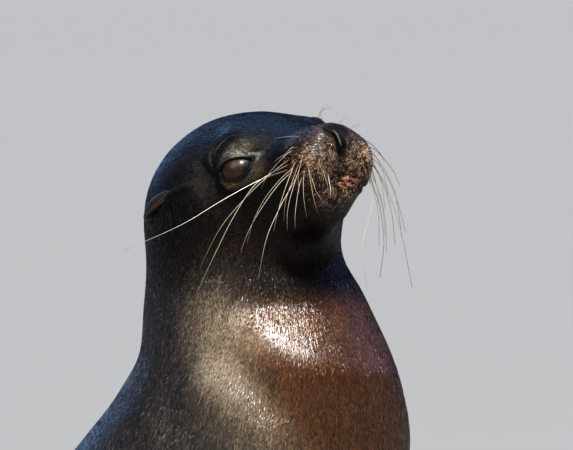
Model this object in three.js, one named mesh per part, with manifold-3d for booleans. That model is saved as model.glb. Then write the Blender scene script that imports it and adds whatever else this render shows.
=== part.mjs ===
// A life-size sea lion sitting upright with its nose lifted, parted into the pieces a person would name.
// Millimetres and degrees. +Z is up, +X is where the chest faces, +Y is the animal's left, z = 0 is the floor.
//
// The body is one smooth form: rounded masses that melt into each other, written as a distance field. Each
// flesh piece is a stretch of that form, meshed by itself and trimmed by planes a hair apart, so that
// neighbours meet at thin cuts. The flat hands and feet are paddles with digits, and the ears, eyes and claws
// are set on the form.

import * as THREE from "three";
import { SimplifyModifier } from "three/addons/modifiers/SimplifyModifier.js";
import { mergeVertices } from "three/addons/utils/BufferGeometryUtils.js";
import Module from "manifold-3d";

const wasm = await Module();
wasm.setup();

// ---------------------------------------------------------------- driving dimensions

const CUT = 0.4; // width of the thin cut between two pieces
const FLOOR = 0;

// The trunk and neck as a tube: [x, z, radius] from the tail's tip to the top of the neck.
const SPINE = {
  tailTip: [-915, 34, 11],
  tailRoot: [-843, 46, 25],
  rump: [-780, 62, 56],
  pelvis: [-705, 80, 88],
  hips: [-605, 112, 115],
  loin: [-475, 188, 140],
  belly: [-335, 272, 157],
  ribs: [-212, 362, 165],
  chest: [-105, 455, 163],
  shoulders: [-32, 548, 150],
  withers: [8, 622, 130],
  neckBase: [18, 662, 116],
  lowerNeck: [8, 705, 105],
  middleNeck: [-3, 745, 93],
  upperNeck: [-17, 778, 82],
  nape: [-22, 800, 75],
};
const SPINE_STEPS = 44;

// The head's own frame: +X to the nose, +Y left, +Z to the crown, from a point between and behind the eyes.
const HEAD = { at: [10, 0, 840], yaw: -17, pitch: 22, roll: 3 };

const EYE = { at: [45, 45, 17], radius: 19 };
const EAR = { root: [-14, 83, 24], tip: [-52, 93, 14], width: 15, thickness: 6 };

// A hand or foot: where its root's middle stands on the floor, and the heading of its digits.
const HAND = {
  root: [14, 192],
  heading: 122,
  length: 300,
  rootWidth: 108,
  width: 138,
  sweep: 46,
  heights: [40, 9],
  rim: 3.5,
  reach: [0.58, 1],
  splay: 0,
  scallop: 0.06,
  ridge: 0.3,
};
const FOOT = {
  root: [-731, 158],
  heading: 40,
  length: 245,
  rootWidth: 66,
  width: 168,
  sweep: 0,
  heights: [40, 7],
  rim: 3,
  reach: [1, 1],
  splay: -0.14,
  scallop: 0.3,
  ridge: 0.5,
};
const DIGITS = 5;
const LEADING_EDGE = 0.3; // how much thicker than its middle a paddle is at its leading edge
const THINNING = 1.7; // how soon a paddle thins out along its digits
const CLAW = { length: 17, radius: 3.4, along: 0.6, digits: [1, 2, 3] };

// How softly the masses run into each other.
const SOFT = { face: 18, arm: 40, leg: 24, shoulder: 60, thigh: 40, nape: 28 };

// The stretches of the form: the box each is meshed in, its cell, and about how many triangles it keeps.
const STRETCHES = {
  skull: { low: [-140, -120, 725], high: [190, 120, 970], cell: 8, triangles: 1450 },
  snout: { low: [0, -110, 755], high: [190, 75, 970], cell: 6, triangles: 1160 },
  temples: { low: [-140, -120, 760], high: [60, 120, 970], cell: 8, triangles: 2200 },
  neck: { low: [-190, -170, 600], high: [180, 170, 870], cell: 14, triangles: 620 },
  trunk: { low: [-960, -290, -20], high: [200, 290, 680], cell: 18, triangles: 2140 },
  tail: { low: [-960, -70, 0], high: [-780, 70, 110], cell: 9, triangles: 160 },
  arm: { low: [-150, 70, -15], high: [115, 280, 330], cell: 11, triangles: 390 },
  leg: { low: [-845, 80, -15], high: [-605, 250, 160], cell: 11, triangles: 270 },
};

// The blocks that take a limb off the trunk: width and depth.
const ELBOW_BLOCK = [190, 330];
const HIP_BLOCK = [170, 160];

// ---------------------------------------------------------------- distance fields

const vec = (p) => new THREE.Vector3(...p);
const mirrorY = (p) => new THREE.Vector3(p.x, -p.y, p.z);

/** The smaller of two distances, rounded over where they are nearly equal. */
function melt(a, b, softness) {
  const share = Math.max(softness - Math.abs(a - b), 0) / softness;
  return Math.min(a, b) - (share * share * softness) / 4;
}

/** A field that melts several into one. */
const meltAll = (fields, softness) => (p) =>
  fields.map((f) => f(p)).reduce((a, b) => melt(a, b, softness));

/** The same form on the animal's left and right, melted where they meet. */
const pair = (field, softness = 10) => (p) => melt(field(p), field(mirrorY(p)), softness);

/** An ellipsoid with its half-lengths along x, y and z. */
function ellipsoid(centre, radii) {
  const c = vec(centre);
  const r = vec(radii);
  return (p) => {
    const q = p.clone().sub(c);
    const near = q.clone().divide(r).length();
    const slope = q.divide(r).divide(r).length();
    return slope > 0 ? (near * (near - 1)) / slope : -Math.min(...radii);
  };
}

/** A cone with round ends, from radius ra at a to rb at b. */
function roundCone(a, b, ra, rb) {
  const from = vec(a);
  const axis = vec(b).sub(from);
  const lengthSq = axis.lengthSq();
  const drop = ra - rb;
  const slantSq = lengthSq - drop * drop;
  return (p) => {
    const q = p.clone().sub(from);
    const along = q.dot(axis);
    const past = along - lengthSq;
    const acrossSq = q.multiplyScalar(lengthSq).addScaledVector(axis, -along).lengthSq();
    const edge = Math.sign(drop) * drop * drop * acrossSq;
    if (Math.sign(past) * slantSq * past * past * lengthSq > edge)
      return Math.sqrt(acrossSq + past * past * lengthSq) / lengthSq - rb;
    if (Math.sign(along) * slantSq * along * along * lengthSq < edge)
      return Math.sqrt(acrossSq + along * along * lengthSq) / lengthSq - ra;
    return (Math.sqrt((acrossSq * slantSq) / lengthSq) + along * drop) / lengthSq - ra;
  };
}

/** A tube of changing radius along a smooth curve through [x, z, radius] stations in the middle plane. */
function spineTube(stations, steps) {
  const line = new THREE.CatmullRomCurve3(stations.map(([x, z]) => vec([x, 0, z])), false, "centripetal");
  const girth = new THREE.CatmullRomCurve3(stations.map(([, , r], i) => vec([i, r, 0])));
  const at = (i) => line.getPoint(i / steps);
  const radius = (i) => girth.getPoint(i / steps).y;
  const links = [];
  for (let i = 0; i < steps; i++)
    links.push(roundCone(at(i).toArray(), at(i + 1).toArray(), radius(i), radius(i + 1)));
  return (p) => links.reduce((least, link) => Math.min(least, link(p)), Infinity);
}

// ---------------------------------------------------------------- the form of the animal

const headFrame = new THREE.Matrix4()
  .makeTranslation(...HEAD.at)
  .multiply(new THREE.Matrix4().makeRotationZ(THREE.MathUtils.degToRad(HEAD.yaw)))
  .multiply(new THREE.Matrix4().makeRotationY(THREE.MathUtils.degToRad(-HEAD.pitch)))
  .multiply(new THREE.Matrix4().makeRotationX(THREE.MathUtils.degToRad(HEAD.roll)));
const toHead = headFrame.clone().invert();

/** The skull, muzzle and jaw, in the head's frame. */
const headForm = meltAll(
  [
    ellipsoid([-28, 0, 10], [87, 87, 78]), // cranium
    ellipsoid([20, 0, 20], [60, 50, 43]), // forehead
    pair(ellipsoid([40, 34, 27], [31, 22, 30])), // orbits
    pair(ellipsoid([-6, 36, -16], [50, 33, 42])), // cheeks
    pair(ellipsoid([58, 24, -10], [34, 21, 26])), // corners of the mouth
    roundCone([56, 0, 16], [110, 0, 10], 34, 21), // bridge of the muzzle
    pair(ellipsoid([107, 19, 1], [27, 20, 24]), 6), // whisker pads
    ellipsoid([124, 0, 17], [13, 15, 12]), // nose
    pair(roundCone([-18, 20, -36], [82, 7, -37], 31, 14)), // lower jaw
    ellipsoid([96, 0, -28], [20, 19, 11]), // lower lip
  ],
  SOFT.face,
);

/** The upper arm, the two bones of the forearm and the heel of the hand. */
const armForm = meltAll(
  [
    roundCone([-60, 88, 430], [-40, 150, 290], 80, 52),
    roundCone([0, 156, 280], [46, 222, 58], 38, 25),
    roundCone([-30, 153, 280], [8, 200, 54], 38, 24),
    roundCone([-58, 150, 280], [-30, 178, 54], 38, 22),
    roundCone([40, 218, 24], [-26, 178, 24], 27, 24),
  ],
  SOFT.arm,
);

/** Thigh and shank, down to the ankle. */
const legForm = meltAll(
  [
    roundCone([-685, 52, 88], [-760, 118, 50], 74, 38),
    roundCone([-760, 118, 50], [-731, 160, 32], 38, 27),
  ],
  SOFT.leg,
);

const trunkForm = spineTube(Object.values(SPINE), SPINE_STEPS);
const headInPlace = (p) => headForm(p.clone().applyMatrix4(toHead));
const arms = pair(armForm);
const legs = pair(legForm);

/** The distance from the skin of the whole animal, less than zero inside it. */
function form(p) {
  const withArms = melt(trunkForm(p), arms(p), SOFT.shoulder);
  const withLegs = melt(withArms, legs(p), SOFT.thigh);
  return melt(withLegs, headInPlace(p), SOFT.nape);
}

// ---------------------------------------------------------------- meshing and cutting

/** Meshes the surface where the field is zero, inside a box, with one vertex in each cell that it crosses. */
function meshField(field, box, cell) {
  const size = box.getSize(new THREE.Vector3());
  const [nx, ny, nz] = size.toArray().map((s) => Math.ceil(s / cell) + 1);
  const point = (i, j, k) => new THREE.Vector3(i, j, k).multiplyScalar(cell).add(box.min);
  const index = (i, j, k) => (k * ny + j) * nx + i;
  const rim = (i, j, k) => i === 0 || j === 0 || k === 0 || i === nx - 1 || j === ny - 1 || k === nz - 1;
  const value = new Float64Array(nx * ny * nz);
  for (let k = 0; k < nz; k++)
    for (let j = 0; j < ny; j++)
      for (let i = 0; i < nx; i++) {
        const distance = field(point(i, j, k));
        value[index(i, j, k)] = rim(i, j, k) ? Math.max(distance, cell / 2) : distance;
      }

  const corners = [0, 1, 2, 3, 4, 5, 6, 7].map((n) => [n & 1, (n >> 1) & 1, n >> 2]);
  const edges = [1, 2, 4].flatMap((bit) =>
    [0, 1, 2, 3, 4, 5, 6, 7].filter((n) => !(n & bit)).map((n) => [n, n + bit]),
  );
  const positions = [];
  const vertexOf = new Map();
  for (let k = 0; k < nz - 1; k++)
    for (let j = 0; j < ny - 1; j++)
      for (let i = 0; i < nx - 1; i++) {
        const values = corners.map(([a, b, c]) => value[index(i + a, j + b, k + c)]);
        const crossed = edges.filter(([m, n]) => values[m] < 0 !== values[n] < 0);
        if (!crossed.length) continue;
        const middle = new THREE.Vector3();
        for (const [m, n] of crossed)
          middle.add(vec(corners[m]).lerp(vec(corners[n]), values[m] / (values[m] - values[n])));
        middle.multiplyScalar(cell / crossed.length).add(point(i, j, k));
        vertexOf.set(index(i, j, k), positions.length / 3);
        positions.push(...middle.toArray());
      }

  const triangles = [];
  const apart = (a, b) => Math.hypot(...[0, 1, 2].map((n) => positions[3 * a + n] - positions[3 * b + n]));
  const step = [1, nx, nx * ny];
  for (let k = 0; k < nz - 1; k++)
    for (let j = 0; j < ny - 1; j++)
      for (let i = 0; i < nx - 1; i++)
        for (let axis = 0; axis < 3; axis++) {
          const here = index(i, j, k);
          const inside = value[here] < 0;
          if (inside === value[here + step[axis]] < 0) continue;
          const u = step[(axis + 1) % 3];
          const v = step[(axis + 2) % 3];
          const ring = [here - u - v, here - v, here, here - u].map((cellIndex) => vertexOf.get(cellIndex));
          if (!inside) ring.reverse();
          const [a, b, c, d] = ring;
          if (apart(a, c) < apart(b, d)) triangles.push(a, b, c, a, c, d);
          else triangles.push(b, c, d, b, d, a);
        }
  return new THREE.BufferGeometry()
    .setAttribute("position", new THREE.Float32BufferAttribute(positions, 3))
    .setIndex(triangles);
}

/** A closed geometry as a solid that can be joined and cut. */
function solidOf(geometry) {
  const bare = geometry.clone();
  bare.deleteAttribute("normal");
  bare.deleteAttribute("uv");
  const merged = mergeVertices(bare, 1e-3);
  return new wasm.Manifold(
    new wasm.Mesh({
      numProp: 3,
      vertProperties: merged.attributes.position.array,
      triVerts: new Uint32Array(merged.index.array),
    }),
  );
}

/** The geometry of a solid. */
function geometryOf(solid) {
  const { vertProperties, triVerts } = solid.getMesh();
  const geometry = new THREE.BufferGeometry()
    .setAttribute("position", new THREE.BufferAttribute(vertProperties, 3))
    .setIndex(new THREE.BufferAttribute(triVerts, 1));
  geometry.computeVertexNormals();
  return geometry;
}

/** A cut through a point: the side that its normal looks to, and the side behind it. */
const cut = (normal, through) => ({ normal: vec(normal).normalize(), through: vec(through) });
const behind = ({ normal, through }) => ({ normal: normal.clone().negate(), through });
const mirrored = ({ normal, through }) => ({ normal: mirrorY(normal), through: mirrorY(through) });

/** What is left of a solid on the near side of every cut. */
const trim = (solid, cuts) =>
  cuts.reduce(
    (left, { normal, through }) => left.trimByPlane(normal.toArray(), normal.dot(through) + CUT / 2),
    solid,
  );

/** A block on a cut's near side, wide and deep enough for a limb; grown, it leaves room for the cut. */
function block({ normal, through }, width, depth, grown = 0) {
  const turn = new THREE.Quaternion().setFromUnitVectors(new THREE.Vector3(0, 0, 1), normal);
  const box = new THREE.BoxGeometry(width + 2 * grown, width + 2 * grown, depth + 2 * grown);
  return solidOf(box.translate(0, 0, depth / 2).applyQuaternion(turn).translate(...through.toArray()));
}

/** The largest separate body of a solid, without stray slivers. */
const largest = (solid) => solid.decompose().reduce((a, b) => (a.volume() > b.volume() ? a : b));

const onFloor = (solid) => solid.trimByPlane([0, 0, 1], FLOOR);

/** A stretch of the form as a solid above the floor: meshed in small cells, then thinned where it is flat. */
async function formIn({ low, high, cell, triangles }, field = form) {
  const fine = meshField(field, new THREE.Box3(vec(low), vec(high)), cell);
  const spare = (fine.index.count / 3 - triangles) / 2;
  return onFloor(solidOf(await new SimplifyModifier().modify(fine, spare)));
}

/** A direction or a point of the head's frame, in the part's frame. */
const headDirection = (d) => vec(d).transformDirection(headFrame).toArray();
const headPoint = (p) => vec(p).applyMatrix4(headFrame).toArray();

// Where the body is parted. Each cut looks to the head's end of the trunk, or to a limb's tip.
const CUTS = {
  skullBase: cut(headDirection([0.62, 0, 0.78]), headPoint([-18, 0, -58])),
  muzzle: cut(headDirection([1, 0, 0]), headPoint([72, 0, 0])),
  mouth: cut(headDirection([0, 0, -1]), headPoint([72, 0, -21])),
  jawHinge: cut(headDirection([1, 0, 0.5]), headPoint([26, 0, -34])),
  nose: cut(headDirection([1, 0, 0.8]), headPoint([127, 0, 13])),
  neckBase: cut([0.12, 0, 1], [10, 0, 640]),
  waist: cut([0.83, 0, 0.56], [-265, 0, 318]),
  hips: cut([0.88, 0, 0.47], [-535, 0, 160]),
  tail: cut([0.98, 0, 0.18], [-827, 0, 50]),
  elbow: cut([0.14, 0.26, -1], [-26, 172, 268]),
  wrist: cut([-0.1, 0.45, -1], [10, 206, 70]),
  hip: cut([-0.1, 1, -0.2], [-727, 106, 50]),
  ankle: cut([0.45, 0.85, -0.2], [-731, 146, 38]),
};

// ---------------------------------------------------------------- hands and feet

/**
 * A flat hand or foot lying on the floor, with a ridge over each digit and a scallop at each tip. Its own frame
 * has +X out along the digits, -Y to the leading edge and +Z up, with the root's middle at the origin. u runs
 * across it from 1 at the leading edge to -1, and v out along it from 0 to 1.
 */
function paddlePoint(shape, u, v) {
  const turn = ((u + 1) * DIGITS * Math.PI) / 2;
  const digit = -Math.cos(2 * turn) / 2;
  const lobe = Math.sqrt(Math.abs(Math.sin(turn))) - 1;
  const fan = THREE.MathUtils.lerp(shape.reach[0], shape.reach[1], (u + 1) / 2) + shape.splay * (1 - u * u);
  const x = v * shape.length * fan * (1 + shape.scallop * lobe * v * v);
  const half = THREE.MathUtils.lerp(shape.rootWidth, shape.width, Math.sin((v * Math.PI) / 2)) / 2;
  const body = THREE.MathUtils.lerp(shape.heights[0], shape.heights[1], 1 - (1 - v) ** THINNING);
  const arch = Math.sqrt(Math.max(1 - u ** 4, 0)) * (1 + LEADING_EDGE * u);
  const ridges = 1 + shape.ridge * digit * Math.sin(v * 3);
  return new THREE.Vector3(x, shape.sweep * v * v - u * half, Math.max(body * arch * ridges, shape.rim));
}

/** The closed paddle: its ridged upper side, a low rim, and an underside that lies flat. */
function paddle(shape, rows, columns) {
  const positions = [];
  const top = [];
  for (let i = 0; i <= rows; i++) {
    top.push([]);
    for (let j = 0; j <= columns; j++) {
      top[i].push(positions.length / 3);
      positions.push(...paddlePoint(shape, 1 - (2 * j) / columns, i / rows).toArray());
    }
  }
  const triangles = [];
  const quad = (a, b, c, d) => triangles.push(a, b, c, a, c, d);
  for (let i = 0; i < rows; i++)
    for (let j = 0; j < columns; j++) quad(top[i][j], top[i + 1][j], top[i + 1][j + 1], top[i][j + 1]);

  const rim = [
    ...top.slice(0, rows).map((row) => row[0]),
    ...top[rows].slice(0, columns),
    ...top.slice(1).map((row) => row[columns]).reverse(),
    ...top[0].slice(1).reverse(),
  ];
  const first = (rows + 1) * (columns + 1);
  rim.forEach((corner) => positions.push(positions[3 * corner], positions[3 * corner + 1], 0));
  rim.forEach((corner, n) => {
    const next = (n + 1) % rim.length;
    quad(corner, first + n, first + next, rim[next]);
  });
  const outline = rim.map((corner) => new THREE.Vector2(positions[3 * corner], positions[3 * corner + 1]));
  for (const [a, b, c] of THREE.ShapeUtils.triangulateShape(outline, []))
    triangles.push(first + a, first + c, first + b);
  return new THREE.BufferGeometry()
    .setAttribute("position", new THREE.Float32BufferAttribute(positions, 3))
    .setIndex(triangles);
}

/** Where a hand or foot lies: from its own frame to the part's, on the animal's left. */
const lyingAt = ({ root, heading }) =>
  new THREE.Matrix4()
    .makeTranslation(root[0], root[1], FLOOR)
    .multiply(new THREE.Matrix4().makeRotationZ(THREE.MathUtils.degToRad(heading)));

// ---------------------------------------------------------------- ears, eyes and claws

/** A closed skin over rings of points that run one after another, each ring the same way round. */
function loft(rings) {
  const count = rings[0].length;
  const centre = (ring) => ring.reduce((sum, p) => sum.add(p), new THREE.Vector3()).divideScalar(count);
  const points = [...rings.flat(), centre(rings[0]), centre(rings.at(-1))];
  const triangles = [];
  for (let i = 0; i < rings.length - 1; i++)
    for (let j = 0; j < count; j++) {
      const a = i * count + j;
      const b = i * count + ((j + 1) % count);
      triangles.push(a, b, b + count, a, b + count, a + count);
    }
  const last = (rings.length - 1) * count;
  for (let j = 0; j < count; j++) {
    const k = (j + 1) % count;
    triangles.push(k, j, rings.length * count, last + j, last + k, rings.length * count + 1);
  }
  return new THREE.BufferGeometry().setFromPoints(points).setIndex(triangles);
}

/** Rings round a curve, where `section(t, angle)` gives a point's place across it, along `wide` and `thick`. */
function ringsAlong(curve, wide, steps, sides, section) {
  const rings = [];
  for (let i = 0; i <= steps; i++) {
    const t = i / steps;
    const forward = curve.getTangent(t);
    const across = wide.clone().addScaledVector(forward, -wide.dot(forward)).normalize();
    const thick = forward.clone().cross(across);
    const ring = [];
    for (let j = 0; j < sides; j++) {
      const [a, b] = section(t, (2 * Math.PI * j) / sides);
      ring.push(curve.getPoint(t).addScaledVector(across, a).addScaledVector(thick, b));
    }
    rings.push(ring);
  }
  return rings;
}

/** A small rolled ear that lies back along the head, in the head's frame. */
function earShape(side) {
  const at = ([x, y, z]) => new THREE.Vector3(x, side * y, z);
  const root = at(EAR.root);
  const tip = at(EAR.tip);
  const inside = at([EAR.root[0] + 4, EAR.root[1] - 14, EAR.root[2] + 2]);
  const bow = root.clone().lerp(tip, 0.5).add(at([0, 6, 3]));
  const curve = new THREE.CatmullRomCurve3([inside, root, bow, tip]);
  const rings = ringsAlong(curve, at([0.2, 0.5, 1]), 7, 10, (t, angle) => {
    const taper = Math.sqrt(1.02 - t ** 2.2) * (0.72 + 0.5 * Math.sin(Math.PI * t));
    const across = Math.cos(angle);
    const roll = side * 0.35 * EAR.thickness * (across * across - 0.5) * taper;
    return [(across * EAR.width * taper) / 2, (Math.sin(angle) * EAR.thickness * taper) / 2 + roll];
  });
  return loft(rings);
}

/** A claw that lies along a digit and hooks down at its tip, in the foot's own frame. */
function clawShape(digit) {
  const u = 1 - (2 * digit + 1) / DIGITS;
  const root = paddlePoint(FOOT, u, CLAW.along);
  const out = paddlePoint(FOOT, u, CLAW.along + 0.1).sub(root).setZ(0).normalize();
  const lifted = (along, up) => root.clone().addScaledVector(out, along).setZ(root.z + up);
  const { length, radius } = CLAW;
  const arch = lifted(length / 2, 0.9 * radius);
  const curve = new THREE.QuadraticBezierCurve3(root, arch, lifted(length, -0.3));
  const across = new THREE.Vector3(0, 0, 1);
  const rings = ringsAlong(curve, across, 3, 6, (t, angle) => {
    const taper = radius * (1 - 0.78 * t * t);
    return [Math.cos(angle) * taper * 0.8, Math.sin(angle) * taper];
  });
  return loft(rings);
}

// ---------------------------------------------------------------- finishes

const finish = (color, roughness) => new THREE.MeshStandardMaterial({ color, roughness, metalness: 0 });
const FINISHES = {
  crown: finish("#262c36", 0.4),
  muzzle: finish("#5a4c42", 0.55),
  nose: finish("#1c1b1c", 0.35),
  neck: finish("#4b423b", 0.42),
  chest: finish("#55341f", 0.42),
  back: finish("#34302e", 0.45),
  flipper: finish("#1f1c1b", 0.55),
  eye: finish("#2a1712", 0.05),
  claw: finish("#3a3330", 0.4),
};

// ---------------------------------------------------------------- the pieces

const animal = new THREE.Group();

/** Adds a named piece to the animal. */
function add(name, geometry, material) {
  geometry.computeVertexNormals();
  const mesh = new THREE.Mesh(geometry, material);
  mesh.name = name;
  animal.add(mesh);
}

const addSolid = (name, solid, material) => add(name, geometryOf(largest(solid)), material);

/** Adds a piece of the animal's left, and the same one turned over on its right. */
function addPair(name, solid, material) {
  const left = geometryOf(largest(solid));
  const right = left.clone().scale(1, -1, 1);
  right.index.array.reverse();
  add(`${name}_left`, left, material);
  add(`${name}_right`, right, material);
}

/** The skull, with a socket for each eye, parted from the muzzle, the nose and the jaw. */
async function addHead() {
  const skull = await formIn(STRETCHES.skull);
  const snout = await formIn(STRETCHES.snout);
  const eyeball = (side, grown) =>
    new THREE.SphereGeometry(EYE.radius + grown, 12, 8).translate(
      ...headPoint([EYE.at[0], side * EYE.at[1], EYE.at[2]]),
    );
  const sockets = solidOf(eyeball(1, CUT)).add(solidOf(eyeball(-1, CUT)));
  const aboveNeck = trim(skull, [CUTS.skullBase, behind(CUTS.muzzle)]);
  const cranium = trim(aboveNeck, [behind(CUTS.mouth)]).add(trim(aboveNeck, [behind(CUTS.jawHinge)]));
  addSolid("head", cranium.subtract(sockets), FINISHES.crown);
  addSolid("muzzle", trim(snout, [CUTS.muzzle, behind(CUTS.mouth), behind(CUTS.nose)]), FINISHES.muzzle);
  addSolid("nose", trim(snout, [CUTS.nose, behind(CUTS.mouth)]), FINISHES.nose);
  addSolid("lower_jaw", trim(snout, [CUTS.mouth, CUTS.jawHinge, CUTS.skullBase]), FINISHES.muzzle);
  add("eye_left", eyeball(1, 0), FINISHES.eye);
  add("eye_right", eyeball(-1, 0), FINISHES.eye);
}

/** The two ears, cut back to stand a hair clear of the skin. */
async function addEars() {
  const skin = await formIn(STRETCHES.temples, (p) => form(p) - CUT);
  for (const [name, side] of [["ear_left", 1], ["ear_right", -1]]) {
    const ear = solidOf(earShape(side).applyMatrix4(headFrame));
    addSolid(name, ear.subtract(skin), FINISHES.crown);
  }
}

/** The neck, the chest with the upper arms, the belly, the rump with the thighs, and the tail. */
async function addTrunk() {
  const neck = await formIn(STRETCHES.neck);
  addSolid("neck", trim(neck, [CUTS.neckBase, behind(CUTS.skullBase)]), FINISHES.neck);
  const trunk = await formIn(STRETCHES.trunk);
  const chest = trim(trunk, [behind(CUTS.neckBase), CUTS.waist]);
  addSolid("chest", withoutLimbs(chest, CUTS.elbow, ELBOW_BLOCK), FINISHES.chest);
  const belly = trim(trunk, [behind(CUTS.waist), CUTS.hips]);
  addSolid("belly", withoutLimbs(belly, CUTS.elbow, ELBOW_BLOCK), FINISHES.back);
  const rump = trim(trunk, [behind(CUTS.hips), CUTS.tail]);
  addSolid("rump", withoutLimbs(rump, CUTS.hip, HIP_BLOCK), FINISHES.back);
  const tail = await formIn(STRETCHES.tail);
  addSolid("tail", trim(tail, [behind(CUTS.tail)]), FINISHES.back);
}

/** A stretch of the trunk less the room that a pair of limbs takes beyond a cut. */
const withoutLimbs = (solid, limbCut, [width, depth]) =>
  [limbCut, mirrored(limbCut)].reduce((left, one) => left.subtract(block(one, width, depth, CUT)), solid);

/** Forearms and hands, shanks and feet, with a claw on each of a foot's three middle digits. */
async function addLimbs() {
  const shoulderDown = await formIn(STRETCHES.arm);
  const arm = shoulderDown.intersect(block(CUTS.elbow, ...ELBOW_BLOCK));
  addPair("forearm", trim(arm, [behind(CUTS.wrist)]), FINISHES.back);
  const hand = solidOf(paddle(HAND, 7, 15).applyMatrix4(lyingAt(HAND)));
  addPair("foreflipper", trim(arm, [CUTS.wrist]).add(hand), FINISHES.flipper);

  const thighDown = await formIn(STRETCHES.leg);
  const leg = thighDown.intersect(block(CUTS.hip, ...HIP_BLOCK));
  addPair("hind_leg", trim(leg, [behind(CUTS.ankle)]), FINISHES.back);
  const sole = paddle(FOOT, 6, 20).applyMatrix4(lyingAt(FOOT));
  const foot = trim(leg, [CUTS.ankle]).add(solidOf(sole));
  addPair("hind_flipper", foot, FINISHES.flipper);
  const clearance = solidOf(sole.translate(0, 0, CUT));
  for (const digit of CLAW.digits) {
    const claw = solidOf(clawShape(digit).applyMatrix4(lyingAt(FOOT)));
    addPair(`hind_claw_${digit + 1}`, claw.subtract(clearance), FINISHES.claw);
  }
}

await addHead();
await addEars();
await addTrunk();
await addLimbs();

// The part stands on the middle of its own footprint.
const reach = new THREE.Box3().setFromObject(animal);
const middle = reach.getCenter(new THREE.Vector3());
animal.position.set(-middle.x, -middle.y, -reach.min.z);

export default animal;
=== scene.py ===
"""The looks of a life-size sea lion that sits upright with its nose lifted.

One skin takes the place of the solids of flesh. It carries the folds of the face, the lids and a short
wet coat of tufts. The ears, eyes, claws and whiskers are pieces of their own. Metres, in the part's own
frame: +X is where the chest faces, +Y is the animal's left and +Z is up. Shapes on the head are given in
millimetres in the head's own frame.
"""

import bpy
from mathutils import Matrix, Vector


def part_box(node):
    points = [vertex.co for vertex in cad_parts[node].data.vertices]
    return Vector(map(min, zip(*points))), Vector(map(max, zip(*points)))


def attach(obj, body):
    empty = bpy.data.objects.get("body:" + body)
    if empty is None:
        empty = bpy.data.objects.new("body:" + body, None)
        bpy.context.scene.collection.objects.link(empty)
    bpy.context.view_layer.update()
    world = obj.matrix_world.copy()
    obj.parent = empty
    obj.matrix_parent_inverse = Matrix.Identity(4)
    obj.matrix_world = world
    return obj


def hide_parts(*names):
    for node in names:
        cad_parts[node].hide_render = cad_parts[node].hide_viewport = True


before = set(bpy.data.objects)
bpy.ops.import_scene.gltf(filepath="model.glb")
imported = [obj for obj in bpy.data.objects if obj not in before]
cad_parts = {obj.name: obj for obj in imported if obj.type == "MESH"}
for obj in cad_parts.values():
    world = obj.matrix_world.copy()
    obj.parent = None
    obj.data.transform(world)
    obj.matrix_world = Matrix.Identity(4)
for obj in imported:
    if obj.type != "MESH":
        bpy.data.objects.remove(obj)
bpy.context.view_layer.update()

import logging
import math
from dataclasses import dataclass, field
from enum import Enum
from typing import Iterator, Sequence

import bmesh
import bpy
import numpy as np
from mathutils import Matrix, Vector
from mathutils.bvhtree import BVHTree

LOG = logging.getLogger("sea_lion")
MM = 0.001
BODY = "root"
SIDES = ("left", "right")
MIRROR = {"left": 1.0, "right": -1.0}

Rows = np.ndarray
Object = bpy.types.Object
Mesh = bpy.types.Mesh
Socket = bpy.types.NodeSocket
Point = tuple[float, float, float]
Colour = tuple[float, float, float]
Span = tuple[float, float]
Outline = tuple[Span, ...]
Stretch = tuple[Rows, Rows, Rows, float, Rows]


# ------ small tools


def smoothstep(low: float, high: float, value: Rows) -> Rows:
    """A soft step.

    Args:
        low: Where the step starts.
        high: Where it is complete. It may lie below low, and the step then falls.
        value: The values to step.

    Returns:
        0 before low, 1 past high, and a smooth rise between them.
    """
    t = np.clip((value - low) / (high - low), 0.0, 1.0)
    return t * t * (3.0 - 2.0 * t)


def norms(rows: Rows) -> Rows:
    """The length of each row."""
    return np.linalg.norm(rows, axis=1)


def unit(rows: Rows) -> Rows:
    """Rows of vectors scaled to length 1."""
    return rows / np.maximum(np.linalg.norm(rows, axis=-1, keepdims=True), 1e-12)


def smooth_line(points: Sequence[Sequence[float]], steps: int = 12) -> Rows:
    """A smooth curve through points.

    Args:
        points: The points, each of any number of coordinates.
        steps: How many short stretches each span is divided into.

    Returns:
        The points of the curve, from the first given point to the last.
    """
    p = np.asarray(points, float)
    if len(p) < 3:
        t = np.linspace(0.0, 1.0, steps + 1)[:, None]
        return p[0] * (1 - t) + p[-1] * t
    padded = np.vstack([2 * p[0] - p[1], p, 2 * p[-1] - p[-2]])
    spans = []
    for a, b, c, d in zip(padded, padded[1:], padded[2:], padded[3:]):
        t = np.linspace(0.0, 1.0, steps, endpoint=False)[:, None]
        square, cube = 2 * a - 5 * b + 4 * c - d, 3 * b - a - 3 * c + d
        spans.append(0.5 * (2 * b + (c - a) * t + square * t**2 + cube * t**3))
    return np.vstack([*spans, p[-1:]])


def distance_to_line(points: Rows, line: Rows) -> tuple[Rows, Rows]:
    """How far points lie from a line of short stretches.

    Args:
        points: Rows of points.
        line: The line's points.

    Returns:
        The distances, and how far along the line the nearest places are, from 0 to 1.
    """
    best = np.full(len(points), np.inf)
    share = np.zeros(len(points))
    count = len(line) - 1
    for i in range(count):
        start, step = line[i], line[i + 1] - line[i]
        t = np.clip((points - start) @ step / max(float(step @ step), 1e-18), 0.0, 1.0)
        gap = norms(points - start - t[:, None] * step)
        nearer = gap < best
        best[nearer] = gap[nearer]
        share[nearer] = (i + t[nearer]) / count
    return best, share


def vectors(items: bpy.types.bpy_prop_collection, name: str) -> Rows:
    """The vectors that a mesh's vertices or faces hold under a name."""
    flat = np.empty(len(items) * 3, np.float32)
    items.foreach_get(name, flat)
    return flat.reshape(-1, 3).astype(float)


def mesh_points(mesh: Mesh) -> Rows:
    """The places of a mesh's vertices."""
    return vectors(mesh.vertices, "co")


def mesh_normals(mesh: Mesh) -> Rows:
    """The outward directions at a mesh's vertices."""
    return vectors(mesh.vertex_normals, "vector")


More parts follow.
